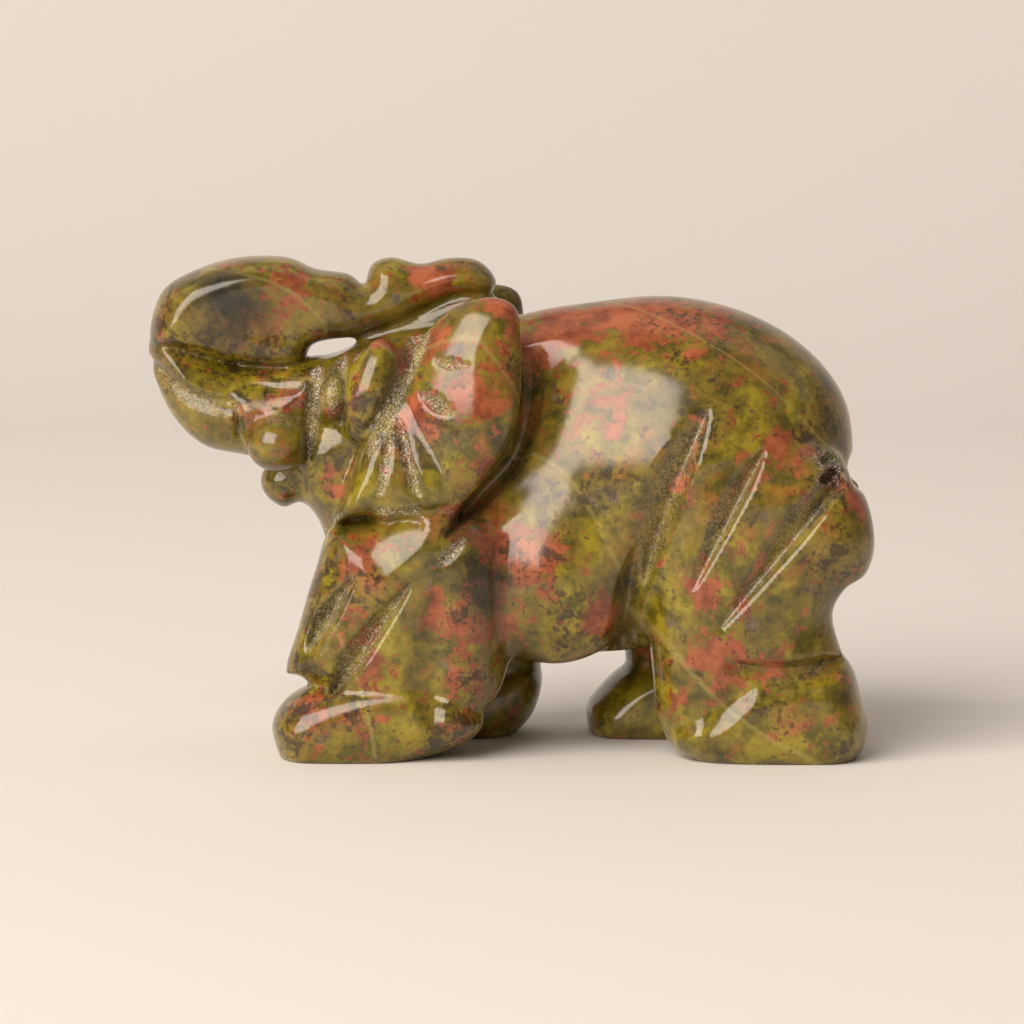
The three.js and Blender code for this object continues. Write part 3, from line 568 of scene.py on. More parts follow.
@dataclass(frozen=True)
class HeadForm:
    """The head with its throat, hanging jaw, tusk stubs, eyes and brow.

    Its cuts start at cuts_from out from the middle of the face.
    """

    skull: Slab = Slab(
        outline=(
            (-29.5, 50), (-26.5, 54.4), (-20, 57), (-12, 58.8), (-2, 60), (4, 54), (0, 42), (-10, 36),
            (-19.5, 41), (-24, 44.2), (-28, 45.6),
        ),
        middle=0, half=12.8, margin=8,
    )
    throat: Slab = Slab(
        outline=((-31, 44), (-29, 36), (-26, 32), (-23.6, 28), (-14, 28), (-12, 44), (-20, 50)),
        middle=0, half=8.6, margin=6,
    )
    jaw: Slab = Slab(
        outline=(
            (-34.5, 38.3), (-34, 35.6), (-31.5, 33.8), (-29, 34.6), (-27, 33.6), (-24, 28), (-18, 34),
            (-26, 42), (-32, 41),
        ),
        middle=0, half=4.6, margin=3.4,
    )
    tusk: Egg = Egg(centre=(-31.7, 6.8, 43.3), radii=(4.4, 5.2, 4.0))
    temple: Egg = Egg(centre=(-18.8, 9.6, 50.6), radii=(3.6, 4.4, 7.4), lean=-15)
    eye: Egg = Egg(centre=(-24.1, 10.2, 49.9), radii=(1.9, 2.7, 3.0), lean=-8)
    cuts: tuple[Groove, ...] = (
        Groove(((-26.0, 54), (-26.8, 50), (-27.2, 46), (-27.6, 41)), 2.0, 1.3, 1.3, (0.1, 0.2)),
        Groove(((-26.0, 53.2), (-26.6, 50), (-26.8, 46.4)), 3.2, 1.6, 1.2, (0.25, 0.3)),
        Groove(((-22.4, 55.4), (-22.6, 50.5), (-22.4, 45.6)), 1.8, 0.6, 2.4, (0.2, 0.3), 0.7),
        Groove(((-10.8, 60.5), (-13.2, 55), (-16.0, 48.8), (-19.0, 42)), 2.6, 1.3, 2.0, (0.1, 0.2)),
    )
    cuts_from: float = 5.0
    trunk: TrunkForm = TrunkForm()
    throat_blend: float = 1.2
    jaw_blend: float = 1.5
    trunk_blend: float = 1.2
    temple_blend: float = 1.6
    tusk_blend: float = 1.2
    eye_blend: float = 0.4

    def distance(self, x: Array, y: Array, z: Array) -> Array:
        """Measures to the head's surface.

        Args:
            x: Where the points are along the figure.
            y: Where they are across it.
            z: How high they are.

        Returns:
            The distance at each point.
        """
        out = np.abs(y)
        form = self.skull.distance(x, y, z)
        form = join(form, self.throat.distance(x, y, z), self.throat_blend)
        form = join(form, self.jaw.distance(x, y, z), self.jaw_blend)
        form = join(form, self.trunk.distance(x, y, z), self.trunk_blend)
        form = join(form, self.temple.distance(x, out, z), self.temple_blend)
        form = join(form, self.tusk.distance(x, out, z), self.tusk_blend)
        form = form + beyond(self.cuts_from, out) * deepest(self.cuts, x, z)
        return join(form, self.eye.distance(x, out, z), self.eye_blend)


@dataclass(frozen=True)
class EarForm:
    """An ear, the cheek flap before it and the cut behind it, made alike on both sides.

    The flap widens to flap_low_half down the range flap_widening. The ear's middle plane flares out to
    ear_back_middle along the range flare, and leans in by tilt up the range tilting.
    """

    ear: Slab = Slab(
        outline=(
            (-3, 63.75), (0.6, 62.7), (1.5, 59), (1.6, 51), (0.4, 45), (-3.4, 39.3), (-8, 34),
            (-10.6, 32.1), (-12.3, 33.3), (-11.9, 39), (-14.1, 46), (-14.2, 51.5), (-12, 57.7),
            (-8, 62),
        ),
        middle=14.4, half=3.6, margin=7.2,
    )
    flap: Slab = Slab(
        outline=(
            (-19, 46), (-21.5, 40.1), (-23, 36.3), (-24, 32.7), (-21.5, 33.2), (-19.1, 33.5),
            (-16.9, 32.7), (-15, 32.9), (-12, 33.5), (-6, 36), (-6, 46), (-12, 54),
        ),
        middle=8, half=6, margin=2.6,
    )
    ear_cuts: tuple[Groove, ...] = (
        Groove(((-10.4, 55.3), (-7.8, 54.6), (-5.2, 54.7)), 0.9, 1.3, 0.5, (0.5, 0.5)),
        Groove(((-12.2, 50.8), (-9.8, 48.9), (-7.4, 48.3)), 1.3, 2.0, 0.5, (0.5, 0.5)),
    )
    flap_cuts: tuple[Groove, ...] = (
        Groove(((-14.9, 48), (-13.9, 43), (-12.1, 37)), 1.2, 0.9, 1.1, (0.2, 0.15)),
        Groove(((-15.2, 47.6), (-16.5, 42), (-17.5, 36.8)), 0.45, 0.7, 0.7, (0.3, 0.2)),
        Groove(((-18.2, 35.6), (-15, 35.1), (-11.4, 36)), 0.6, 0.7, 1.0, (0.2, 0.2)),
    )
    behind: tuple[Groove, ...] = (
        Groove(
            ((-2, 63), (2.4, 56.5), (2.6, 49), (0.8, 42.2), (-3.8, 36.8), (-8.8, 31.4)),
            4.6, 3.2, 2.0, (0.12, 0.25), 0.1, soft=True,
        ),
        Groove(
            ((-2, 63), (2.7, 56.5), (2.9, 49), (1, 42.2), (-3.6, 36.8), (-8.6, 31.4)),
            1.6, 8.5, 2.0, (0.12, 0.25), 0.0, soft=True,
        ),
    )
    flap_low_half: float = 10.9
    flap_widening: Range = (56, 38)
    ear_back_middle: float = 17.0
    flare: Range = (-14, -3)
    tilt: float = 2.2
    tilting: Range = (42, 66)
    front: float = -12.0
    behind_from: float = 8.0
    flap_cuts_from: float = 9.0
    ear_cuts_from: float = 14.0
    flap_blend: float = 0.6
    ear_blend: float = 0.3

    def joined_to(self, form: Array, x: Array, y: Array, z: Array) -> Array:
        """Joins both flaps and ears to a form.

        Args:
            form: The distance to the form at each point.
            x: Where the points are along the figure.
            y: Where they are across it.
            z: How high they are.

        Returns:
            The distance with the flaps and ears in it.
        """
        out = np.abs(y)
        half = mix(self.flap.half, self.flap_low_half, rise(*self.flap_widening, z))
        flap = self.flap.distance(x, out, z, half=half) + deepest(self.flap_cuts, x, z)
        form = join(form, flap, self.flap_blend)
        form = form + beyond(self.behind_from, out) * deepest(self.behind, x, z)
        middle = mix(self.ear.middle, self.ear_back_middle, rise(*self.flare, x))
        middle = middle - np.float32(self.tilt) * rise(*self.tilting, z)
        ear = self.ear.distance(x, out, z, middle=middle) + deepest(self.ear_cuts, x, z)
        return join(form, ear, self.ear_blend)


WINDOW = Slab(
    outline=((-27.5, 56), (-26.2, 54.9), (-23.8, 55.2), (-21.4, 56.6), (-22.2, 57.4), (-24.6, 57)),
    middle=0, half=40, margin=0.4,
)


@dataclass(frozen=True)
class FigureForm:
    """The whole figure: its body and legs, head and ears, and the cuts on its two sides.

    The lengths are shares: hundredths of the figure's length. pit_grit is how far around a pit the grit
    reaches, and ear_rim is how far off the ear's edge the grit behind it starts.
    """

    body: BodyForm = BodyForm()
    legs: tuple[LegForm, ...] = (NEAR_FORELEG, NEAR_HIND_LEG, FAR_FORELEG, FAR_HIND_LEG)
    near_cuts: tuple[Groove, ...] = NEAR_CUTS
    far_cuts: tuple[Groove, ...] = FAR_CUTS
    cuts_from: float = 2.0
    notch: Point = (48.7, 39.7)
    notch_radius: float = 2.5
    notch_blend: float = 0.6
    pits: tuple[Egg, ...] = RUMP_PITS
    pit_blend: float = 0.35
    pit_grit: float = 1.2
    head: HeadForm = HeadForm()
    head_blend: float = 2.0
    ears: EarForm = EarForm()
    ear_rim: float = 0.2
    window: Slab = WINDOW
    window_blend: float = 0.3
    soles: float = 0.8

    def distance(self, x: Array, y: Array, z: Array) -> Array:
        """Measures to the whole figure's surface, negative inside the stone.

        Args:
            x: Where the points are along the figure.
            y: Where they are across it.
            z: How high they are.

        Returns:
            The distance at each point.
        """
        form = self.body.distance(x, y, z)
        for leg in self.legs:
            form = leg.joined_to(form, x, y, z)
        form = form + beyond(self.cuts_from, -y) * deepest(self.near_cuts, x, z)
        form = form + beyond(self.cuts_from, y) * deepest(self.far_cuts, x, z)
        notch_x, notch_z = self.notch
        notch = np.sqrt((x - notch_x) ** 2 + (z - notch_z) ** 2) - self.notch_radius
        form = carve(form, notch.astype(np.float32), self.notch_blend)
        for pit in self.pits:
            form = carve(form, pit.distance(x, y, z), self.pit_blend)
        form = join(form, self.head.distance(x, y, z), self.head_blend)
        form = self.ears.joined_to(form, x, y, z)
        form = carve(form, self.window.distance(x, y, z), self.window_blend)
        return np.maximum(form, self.soles - z)

    def grit_left(self, points: Array) -> Array:
        """Finds how gritty the carving left points of the figure.

        Args:
            points: The points, one row each.

        Returns:
            The grit at each point, from 0, polished, to 1.
        """
        x, y, z = points.T
        out = np.abs(y)
        head, ears = self.head, self.ears
        off_ear = ears.ear.outline_distance(x, z) > self.ear_rim
        zones = (
            (y < -self.cuts_from, self.near_cuts),
            (y > self.cuts_from, self.far_cuts),
            (out > head.cuts_from, head.cuts),
            (out > self.cuts_from, head.trunk.cuts),
            ((x < ears.front) & (out > ears.flap_cuts_from), ears.flap_cuts),
            ((x > ears.front) & (out > ears.ear_cuts_from), ears.ear_cuts),
            ((out > ears.behind_from) & off_ear, ears.behind),
        )
        cuts = [np.where(zone, grittiest(grooves, x, z), 0) for zone, grooves in zones]
        pits = [np.clip(self.pit_grit - pit.distance(x, y, z), 0, 1) for pit in self.pits]
        return np.max([*cuts, *pits], axis=0)


@dataclass(frozen=True)
class Lattice:
    """A lattice of points around the figure, from which its surface is faceted.

    The lengths are shares: hundredths of the figure's length. A filled corner is set as deep as film in
    the stone. A vertex settles by slopes measured over nudge, whose square counts as least_slope or
    more, and by no more than free_share of a step.
    """

    form: FigureForm = FigureForm()
    step: float = 0.56
    low: Triple = (-52.0, -22.6, -1.6)
    high: Triple = (52.0, 22.6, 70.4)
    film: float = 0.02
    nudge: float = 0.05
    least_slope: float = 0.25
    free_share: float = 0.45

    def lines(self) -> list[Array]:
        """Gives the lattice's places along x, y and z."""
        counts = [math.ceil((b - a) / self.step) + 1 for a, b in zip(self.low, self.high)]
        return [
            (a + self.step * np.arange(count)).astype(np.float32)
            for a, count in zip(self.low, counts)
        ]

    def sample(self) -> Array:
        """Samples the figure's form at every point of the lattice.

        Returns:
            The distances, by their places along x, y and z.
        """
        x, y, z = self.lines()
        values = self.form.distance(x[:, None, None], y[None, :, None], z[None, None, :])
        return np.array(np.broadcast_to(values, (len(x), len(y), len(z))), np.float32)

    def fill_doubled_cells(self, values: Array) -> int:
        """Fills air corners until one sheet of surface passes through every cell.

        Args:
            values: The distance at every point, changed in place.

        Returns:
            How many corners were filled.
        """
        one_sheet = np.array([is_one_sheet(code) for code in range(2 ** len(CORNERS))])
        total = 0
        while True:
            inside = values < 0
            code = sum(
                corner_view(inside, n).astype(np.int32) << n for n in range(len(CORNERS))
            )
            cells = np.argwhere(~one_sheet[code])
            if not len(cells):
                return total
            total += len(cells)
            nodes = cells[:, None, :] + np.array(CORNERS)[None]
            at = values[nodes[..., 0], nodes[..., 1], nodes[..., 2]]
            nearest = np.where(at < 0, np.inf, at).argmin(1)
            chosen = nodes[np.arange(len(cells)), nearest]
            values[chosen[:, 0], chosen[:, 1], chosen[:, 2]] = -self.film

    def facets(self) -> tuple[Array, Array]:
        """Facets the figure with one vertex in each cell that its surface crosses.

        Returns:
            The vertices and the four-sided facets.
        """
        values = self.sample()
        log.info("filled %d doubled cells", self.fill_doubled_cells(values))
        inside = values < 0
        lines = self.lines()
        shape = tuple(n - 1 for n in values.shape)
        sums = np.zeros((*shape, 3), np.float32)
        counts = np.zeros(shape, np.int32)
        for a, b in CELL_EDGES:
            va, vb = corner_view(values, a), corner_view(values, b)
            cells = np.nonzero(corner_view(inside, a) != corner_view(inside, b))
            t = va[cells] / (va[cells] - vb[cells])
            for k in range(3):
                start = lines[k][cells[k] + CORNERS[a][k]]
                end = lines[k][cells[k] + CORNERS[b][k]]
                sums[(*cells, k)] += start + (end - start) * t
            counts[cells] += 1
        owners = np.full(shape, -1, np.int64)
        crossed = counts > 0
        owners[crossed] = np.arange(crossed.sum())
        vertices = sums[crossed] / counts[crossed][:, None]
        return vertices, self.quads(inside, owners)

    def quads(self, inside: Array, owners: Array) -> Array:
        """Joins the vertices of the four cells around every lattice edge that the surface crosses.

        Args:
            inside: Whether each point of the lattice is in the stone.
            owners: The vertex of each cell, or -1.

        Returns:
            The facets, each with its corners in order around the outward normal.
        """
        found = []
        for along in range(3):
            u, v = (along + 1) % 3, (along + 2) % 3
            here = np.moveaxis(inside, along, 0)[:-1]
            there = np.moveaxis(inside, along, 0)[1:]
            crossing = np.moveaxis(here != there, 0, along)
            starts = np.argwhere(crossing)
            starts = starts[(starts[:, u] > 0) & (starts[:, v] > 0)]
            ring = []
            for du, dv in ((1, 1), (0, 1), (0, 0), (1, 0)):
                cell = starts.copy()
                cell[:, u] -= du
                cell[:, v] -= dv
                ring.append(owners[cell[:, 0], cell[:, 1], cell[:, 2]])
            quads = np.stack(ring, 1)
            outward = inside[starts[:, 0], starts[:, 1], starts[:, 2]]
            quads[~outward] = quads[~outward][:, ::-1]
            found.append(quads)
        return np.vstack(found)

    def settled(self, points: Array) -> Array:
        """Moves points onto the figure's surface, though not out of their cells.

        Args:
            points: Points near the surface, one row each.

        Returns:
            The moved points.
        """
        start = points.copy()
        nudge = np.float32(self.nudge)
        for _ in range(2):
            here = self.form.distance(*points.T)
            slope = np.stack(
                [
                    (self.form.distance(*(points + nudge * axis).T) - here) / nudge
                    for axis in np.eye(3, dtype=np.float32)
                ],
                1,
            )
            steep = np.maximum((slope**2).sum(1), np.float32(self.least_slope))
            points = points - slope * (here / steep)[:, None]
        moved = points - start
        length = np.sqrt((moved**2).sum(1))
        free = np.float32(self.free_share * self.step)
        short = np.minimum(1, free / np.maximum(length, np.float32(1e-6)))
        return start + moved * short[:, None]


CORNERS = tuple((n & 1, n >> 1 & 1, n >> 2 & 1) for n in range(8))


def corners_apart(a: int, b: int) -> int:
    """Counts the axes along which two corners of a cell differ."""
    return sum(p != q for p, q in zip(CORNERS[a], CORNERS[b]))


CELL_EDGES = tuple(
    (a, b) for a in range(8) for b in range(a + 1, 8) if corners_apart(a, b) == 1
)


def corner_view(values: Array, corner: int) -> Array:
    """Gives every cell's value at one of its eight corners."""
    return values[tuple(slice(k, size - 1 + k) for k, size in zip(CORNERS[corner], values.shape))]


def hangs_together(inside: Sequence[bool], kind: bool) -> bool:
    """Tells whether a cell's corners of one kind are joined along its edges.

    Args:
        inside: Whether each of the eight corners is in stone.
        kind: Whether the corners in stone are meant, or those in air.

    Returns:
        Whether one can be reached from any other.
    """
    members = {n for n in range(8) if inside[n] == kind}
    if not members:
        return True
    reached = {min(members)}
    for _ in members:
        reached |= {
            b if a in reached else a
            for a, b in CELL_EDGES
            if a in members and b in members and (a in reached or b in reached)
        }
    return reached == members


def is_one_sheet(code: int) -> bool:
    """Tells whether one sheet of surface passes through a cell.

    Args:
        code: Which of the cell's corners are in stone, as eight bits.

    Returns:
        Whether stone and air each hang together, and no face of the cell is crossed twice.
    """
    inside = [bool(code >> n & 1) for n in range(8)]
    for a in range(8):
        for b in range(a + 1, 8):
            if corners_apart(a, b) == 2 and inside[a] == inside[b]:
                others = [n for n in range(8) if corners_apart(n, a) == corners_apart(n, b) == 1]
                if all(inside[n] != inside[a] for n in others):
                    return False
    return hangs_together(inside, True) and hangs_together(inside, False)


def largest_piece(vertices: Array, quads: Array) -> tuple[Array, Array]:
    """Keeps the largest connected sheet of facets.

    Args:
        vertices: The vertices, one row each.
        quads: The facets' corners.

    Returns:
        The vertices and facets that are left.
    """
    label = np.arange(len(vertices))
    while True:
        lowest = label[quads].min(1)
        spread = label.copy()
        for k in range(4):
            np.minimum.at(spread, quads[:, k], lowest)
        spread = spread[spread]
        if (spread == label).all():
            break
        label = spread
    kept = label == np.bincount(label).argmax()
    renumbered = np.cumsum(kept) - 1
    return vertices[kept], renumbered[quads[kept[quads[:, 0]]]]


@dataclass(frozen=True)
class Patch:
    """A named soft ball that tints what it covers: the feldspar patches are the stone's pattern, and
    the shade patches are painted shade.
    """

    centre: Triple
    radius: float
    strength: float = 1.0

    def cover(self, x: Array, y: Array, z: Array) -> Array:
        """Covers points of the figure with the patch's tint.

        Args:
            x: Where the points are along the figure.
            y: Where they are across it.
            z: How high they are.

        Returns:
            How strongly each point is covered.
        """
        cx, cy, cz = self.centre
        away = (x - cx) ** 2 + (y - cy) ** 2 + (z - cz) ** 2
        return self.strength * np.exp(-away / self.radius**2)


FELDSPAR_PATCHES = (
    Patch((6, -8, 61), 7),
    Patch((18, -8, 62), 7),
    Patch((11, -17, 50), 5, 0.7),
    Patch((28, -8, 60), 5, 0.8),
    Patch((-30.5, -6, 64.4), 3.4, 1.2),
    Patch((-48, -6, 58.5), 1.8, 0.7),
    Patch((-38.5, -4, 67.5), 2.2, 0.8),
    Patch((-10.8, -4, 65.5), 3.4, 1.2),
    Patch((-31.8, -8, 50.2), 2.0, 1.2),
    Patch((-28.8, -8, 49.4), 1.8, 1.2),
    Patch((-19.6, -12, 51.5), 2.4),
    Patch((-24, -12, 47.8), 1.3),
    Patch((-10.5, -17, 58.5), 3.0),
    Patch((-1.5, -19, 56), 3.4, 0.9),
    Patch((-5.5, -19, 50.5), 3.0, 0.8),
    Patch((-12.6, -17, 50), 2.6),
    Patch((-3, -19, 41.5), 2.4, 0.7),
    Patch((-18, -16, 29), 4.0, 0.9),
    Patch((-1, -17, 31), 3.6),
    Patch((2.8, -19, 28), 3.6, 1.2),
    Patch((-4, -17, 20), 6, 0.9),
    Patch((-6, -17, 10), 4, 0.7),
    Patch((12.6, -15, 20), 3.4),
    Patch((36.8, -18, 44.8), 3.0, 1.4),
    Patch((26.8, -18, 24.8), 3.0, 1.2),
    Patch((28.0, -18, 16.0), 3.8, 1.1),
    Patch((46.5, -16, 36), 3.0, 0.8),
    Patch((23.4, -18, 9.3), 2.4, 0.8),
    Patch((-27, -18, 6), 3.4, 0.9),
    Patch((-21, -18, 19), 2.8, 0.7),
    Patch((-18, -18, 12), 3.2, 0.7),
    Patch((12, 17, 50), 8, 0.8),
    Patch((-4, 19, 52), 5, 0.8),
    Patch((34, 17, 34), 5, 0.8),
    Patch((-10, 17, 20), 5, 0.8),
)
# Painted shade and a painted dark reflection. These patches darken the stone in the trunk's hollow,
# under the trunk, in the grooves behind the ears and before the eyes, between the forelegs and the
# belly, in the crease before the hind leg and in the rump's pits.
PAINTED_SHADE_PATCHES = (
    Patch((-39.6, -7, 64.4), 3.8, 1.1),
    Patch((-36.6, -7, 60.6), 4.0),
    Patch((-41, -7, 57.4), 2.6, 0.5),
    Patch((-23, -6, 60), 4, 0.7),
    Patch((2.6, -16, 53), 3.0, 0.9),
    Patch((2.8, -16, 47), 2.6, 0.7),
    Patch((-26.6, -9, 50), 2.2, 0.8),
    Patch((-7, -16, 31), 4.6, 0.9),
    Patch((-2, -19, 24), 4.6, 0.9),
    Patch((1, -18, 40), 3.6, 0.7),
    Patch((15.6, -16, 24), 3.6, 0.7),
    Patch((-2, -12, 15), 5.0, 0.8),
    Patch((44, -14, 41), 2.6, 0.8),
)


def covered(patches: Sequence[Patch], points: Array) -> Array:
    """Adds up how strongly several patches cover points of the figure."""
    return sum(patch.cover(*points.T) for patch in patches)


@dataclass(frozen=True)
class CarvedElephant:
    """The carved elephant's one piece, from its soles to its folded trunk."""

    lattice: Lattice = Lattice()
    full_height: float = 68.0

    def mesh(self, low: Vector, high: Vector) -> bpy.types.Mesh:
        """Makes the figure's mesh.

        Args:
            low: The lowest corner of the box that it fills, in metres.
            high: The box's highest corner.

        Returns:
            The mesh, with the stone's pattern, its painted shade and its carving in its attributes.
        """
        form = self.lattice.form
        vertices, quads = largest_piece(*self.lattice.facets())
        vertices = self.lattice.settled(vertices.astype(np.float32))
        vertices[:, 2] = np.maximum(vertices[:, 2], form.soles)
        least, most = vertices.min(0), vertices.max(0)
        scale = (np.array(high) - np.array(low)) / (most - least)
        mesh = bpy.data.meshes.new(CAD_NODE)
        mesh.from_pydata(((vertices - least) * scale + np.array(low)).tolist(), [], quads.tolist())
        self.write(mesh, "feldspar", covered(FELDSPAR_PATCHES, vertices))
        # Painted shade: the shade patches go to the finish in this attribute.
        self.write(mesh, "shade", covered(PAINTED_SHADE_PATCHES, vertices))
        self.write(mesh, "grit", form.grit_left(vertices))
        self.write(mesh, "height", vertices[:, 2] / self.full_height)
        mesh.shade_smooth()
        return mesh

    @staticmethod
    def write(mesh: bpy.types.Mesh, name: str, values: Array) -> None:
        """Writes one number for each vertex into an attribute of the mesh."""
        layer = mesh.attributes.new(name, "FLOAT", "POINT")
        layer.data.foreach_set("value", values.astype(np.float32))

    def build(self, stone: bpy.types.Material) -> bpy.types.Object:
        """Adds the figure to the scene in its finish.

        Args:
            stone: The figure's material.

        Returns:
            The piece, riding on the model's root and standing for its CAD node.
        """
        piece = bpy.data.objects.new("elephant_stone", self.mesh(*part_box(CAD_NODE)))
        bpy.context.scene.collection.objects.link(piece)
        piece.data.materials.append(stone)
        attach(piece, "root")
        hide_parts(CAD_NODE)
        return piece


Sockets = Mapping[str | int, object]


def linear(colour: str) -> tuple[float, float, float, float]:
    """Turns an sRGB colour into linear light.

    Args:
        colour: Its hex value, such as "8b8440".

    Returns:
        Its red, green and blue, and an alpha of 1.
    """
    shares = (int(colour[n : n + 2], 16) / 255 for n in (0, 2, 4))
    r, g, b = (s / 12.92 if s <= 0.04045 else ((s + 0.055) / 1.055) ** 2.4 for s in shares)
    return (r, g, b, 1.0)


def add_node(
    tree: bpy.types.NodeTree, kind: str, sockets: Sockets, **settings: object
) -> bpy.types.Node:
    """Adds a shader node.

    Args:
        tree: The node tree that it goes into.
        kind: The node's class.
        sockets: What feeds its inputs, by name or number: a value, or another node's output.
        **settings: The node's own options.

    Returns:
        The node.
    """
    node = tree.nodes.new(kind)
    for name, value in settings.items():
        setattr(node, name, value)
    for key, value in sockets.items():
        if isinstance(value, bpy.types.NodeSocket):
            tree.links.new(value, node.inputs[key])
        else:
            node.inputs[key].default_value = value
    return node


# Slanting waves turn by 10 radians a metre of x + y + z, which is the way across them times the
# root of 3.
WAVES_A_METRE = 2 * math.pi / 10 / math.sqrt(3)
# How many changes of tone there are across a grain, so that it isn't one flat colour.
TONES_A_GRAIN = 1.9


class Edge(Enum):
    """How sharply one mineral gives way to the next, as half the step's width in the noise."""

    CRISP = 0.02
    PLAIN = 0.04
    CLOUDY = 0.09


@dataclass(frozen=True)
class Mineral:
    """One of the stone's minerals, scattered through it as grains of about one size.

    It shows where the noise rises over its level. Its seed moves it through the noise, so that no two
    minerals share their grains.
    """

    colour: str
    other_colour: str
    grain_mm: float
    level: float
    edge: Edge
    seed: float
    detail: float = 4.0
    distortion: float = 0.4
    roughness: float = 0.55
    strength: float = 1.0


@dataclass(frozen=True)
class Unakite:
    """Polished unakite: olive epidote with salmon feldspar and grey quartz, and gritty in its cuts.

    A range, such as tone_range, is where in the noise one tone gives way to the other.
    """

    # Ground and buffed, the stone has a smooth skin with small sharp highlights, and its grains show in
    # full colour up to the surface. The cuts keep the grinding's dry pale grit and scatter the light.
    name: str = "polished_unakite"
    ground: str = "867026"
    dark_ground: str = "464012"
    ground_mm: float = 2.6
    ground_range: Range = (0.38, 0.6)
    tone_range: Range = (0.4, 0.6)
    green: Mineral = Mineral("544c0c", "90801e", 3.2, 0.54, Edge.CLOUDY, 0.23)
    ochre: Mineral = Mineral("9a6b2c", "744816", 3.0, 0.61, Edge.CLOUDY, 0.11)
    quartz: Mineral = Mineral("6e5c42", "4a3d2a", 2.0, 0.65, Edge.PLAIN, 0.37)
    feldspar: Mineral = Mineral("a65b38", "7a3b22", 3.6, 0.605, Edge.PLAIN, 0.53, 8.0, 0.3, 0.68)
    crumbs: Mineral = Mineral("9a5430", "7a3a20", 0.9, 0.63, Edge.PLAIN, 0.41, 6.0, 0.3, 0.65)
    blotches: Mineral = Mineral(
        "443622", "2f2614", 1.3, 0.655, Edge.PLAIN, 0.67, 5.0, 0.3, 0.6, strength=0.8
    )
    specks: Mineral = Mineral(
        "33290f", "3a2014", 0.45, 0.64, Edge.CRISP, 0.79, 4.0, 0.0, 0.6, strength=0.65
    )
    # The lower legs are greener, and the salmon grains gather in their patches.
    low_share: float = 0.35
    low_bias: float = 0.09
    rose_bias: float = 0.17
    # The dark specks come in crowds.
    crowd_mm: float = 5.0
    crowd_range: Range = (0.38, 0.62)
    crowd_bias: float = 0.09
    # Painted shade: where the shade patches lie, the colour is darkened towards this one, more thickly
    # where the ground's noise is high.
    shadow: str = "29261c"
    shadow_range: Range = (0.3, 0.55)
    shadow_cover: Range = (0.4, 0.9)
    vein: str = "a79a58"
    vein_mm: float = 15.0
    vein_bend: float = 7.0
    vein_width: float = 0.0012
    vein_strength: float = 0.28
    cut: str = "cfc9b8"
    cut_strength: float = 0.75
    cut_range: Range = (0.05, 0.7)
    # Epidote bends light by 1.73 and feldspar and quartz by about 1.54, and their mix lies between.
    ior: float = 1.6
    polish: float = 0.17
    cut_roughness: float = 0.42
    # Real grinding leaves grit of about 0.05 mm. It is drawn nearly three times as coarse, to show.
    grit_mm: float = 0.14
    grit_height_mm: float = 0.09
    grit_range: Range = (0.5, 0.62)

    def scatter(
        self,
        tree: bpy.types.NodeTree,
        place: bpy.types.NodeSocket,
        under: bpy.types.NodeSocket,
        mineral: Mineral,
        bias: bpy.types.NodeSocket | float,
    ) -> bpy.types.NodeSocket:
        """Scatters a mineral through the stone.

        Args:
            tree: The material's node tree.
            place: The place in the stone, in metres.
            under: The colour that the grains lie in.
            mineral: The mineral.
            bias: What is added to the noise, so that more or less of it shows.

        Returns:
            The colour with the grains in it.
        """
        shift = (mineral.seed, -mineral.seed, mineral.seed / 2)
        moved = add_node(tree, "ShaderNodeVectorMath", {0: place, 1: shift})
        scale = 1000 / mineral.grain_mm
        grains = add_node(
            tree,
            "ShaderNodeTexNoise",
            {
                "Vector": moved.outputs[0],
                "Scale": scale,
                "Detail": mineral.detail,
                "Roughness": mineral.roughness,
                "Distortion": mineral.distortion,
            },
        )
        tones = add_node(
            tree,
            "ShaderNodeTexNoise",
            {
                "Vector": moved.outputs[0],
                "Scale": scale * TONES_A_GRAIN,
                "Detail": 5.0,
                "Roughness": 0.65,
            },
        )
        level = add_node(tree, "ShaderNodeMath", {0: grains.outputs[0], 1: bias}, operation="ADD")
        mask = add_node(
            tree,
            "ShaderNodeMapRange",
            {
                0: level.outputs[0],
                1: mineral.level - mineral.edge.value,
                2: mineral.level + mineral.edge.value,
                4: mineral.strength,
            },
            interpolation_type="SMOOTHSTEP",
        )
        low, high = self.tone_range
        tone = add_node(tree, "ShaderNodeMapRange", {0: tones.outputs[0], 1: low, 2: high})
        colour = add_node(
            tree,
            "ShaderNodeMix",
            {0: tone.outputs[0], 6: linear(mineral.colour), 7: linear(mineral.other_colour)},
            data_type="RGBA",
        )
        laid = add_node(
            tree,
            "ShaderNodeMix",
            {0: mask.outputs[0], 6: under, 7: colour.outputs[2]},
            data_type="RGBA",
        )
        return laid.outputs[2]

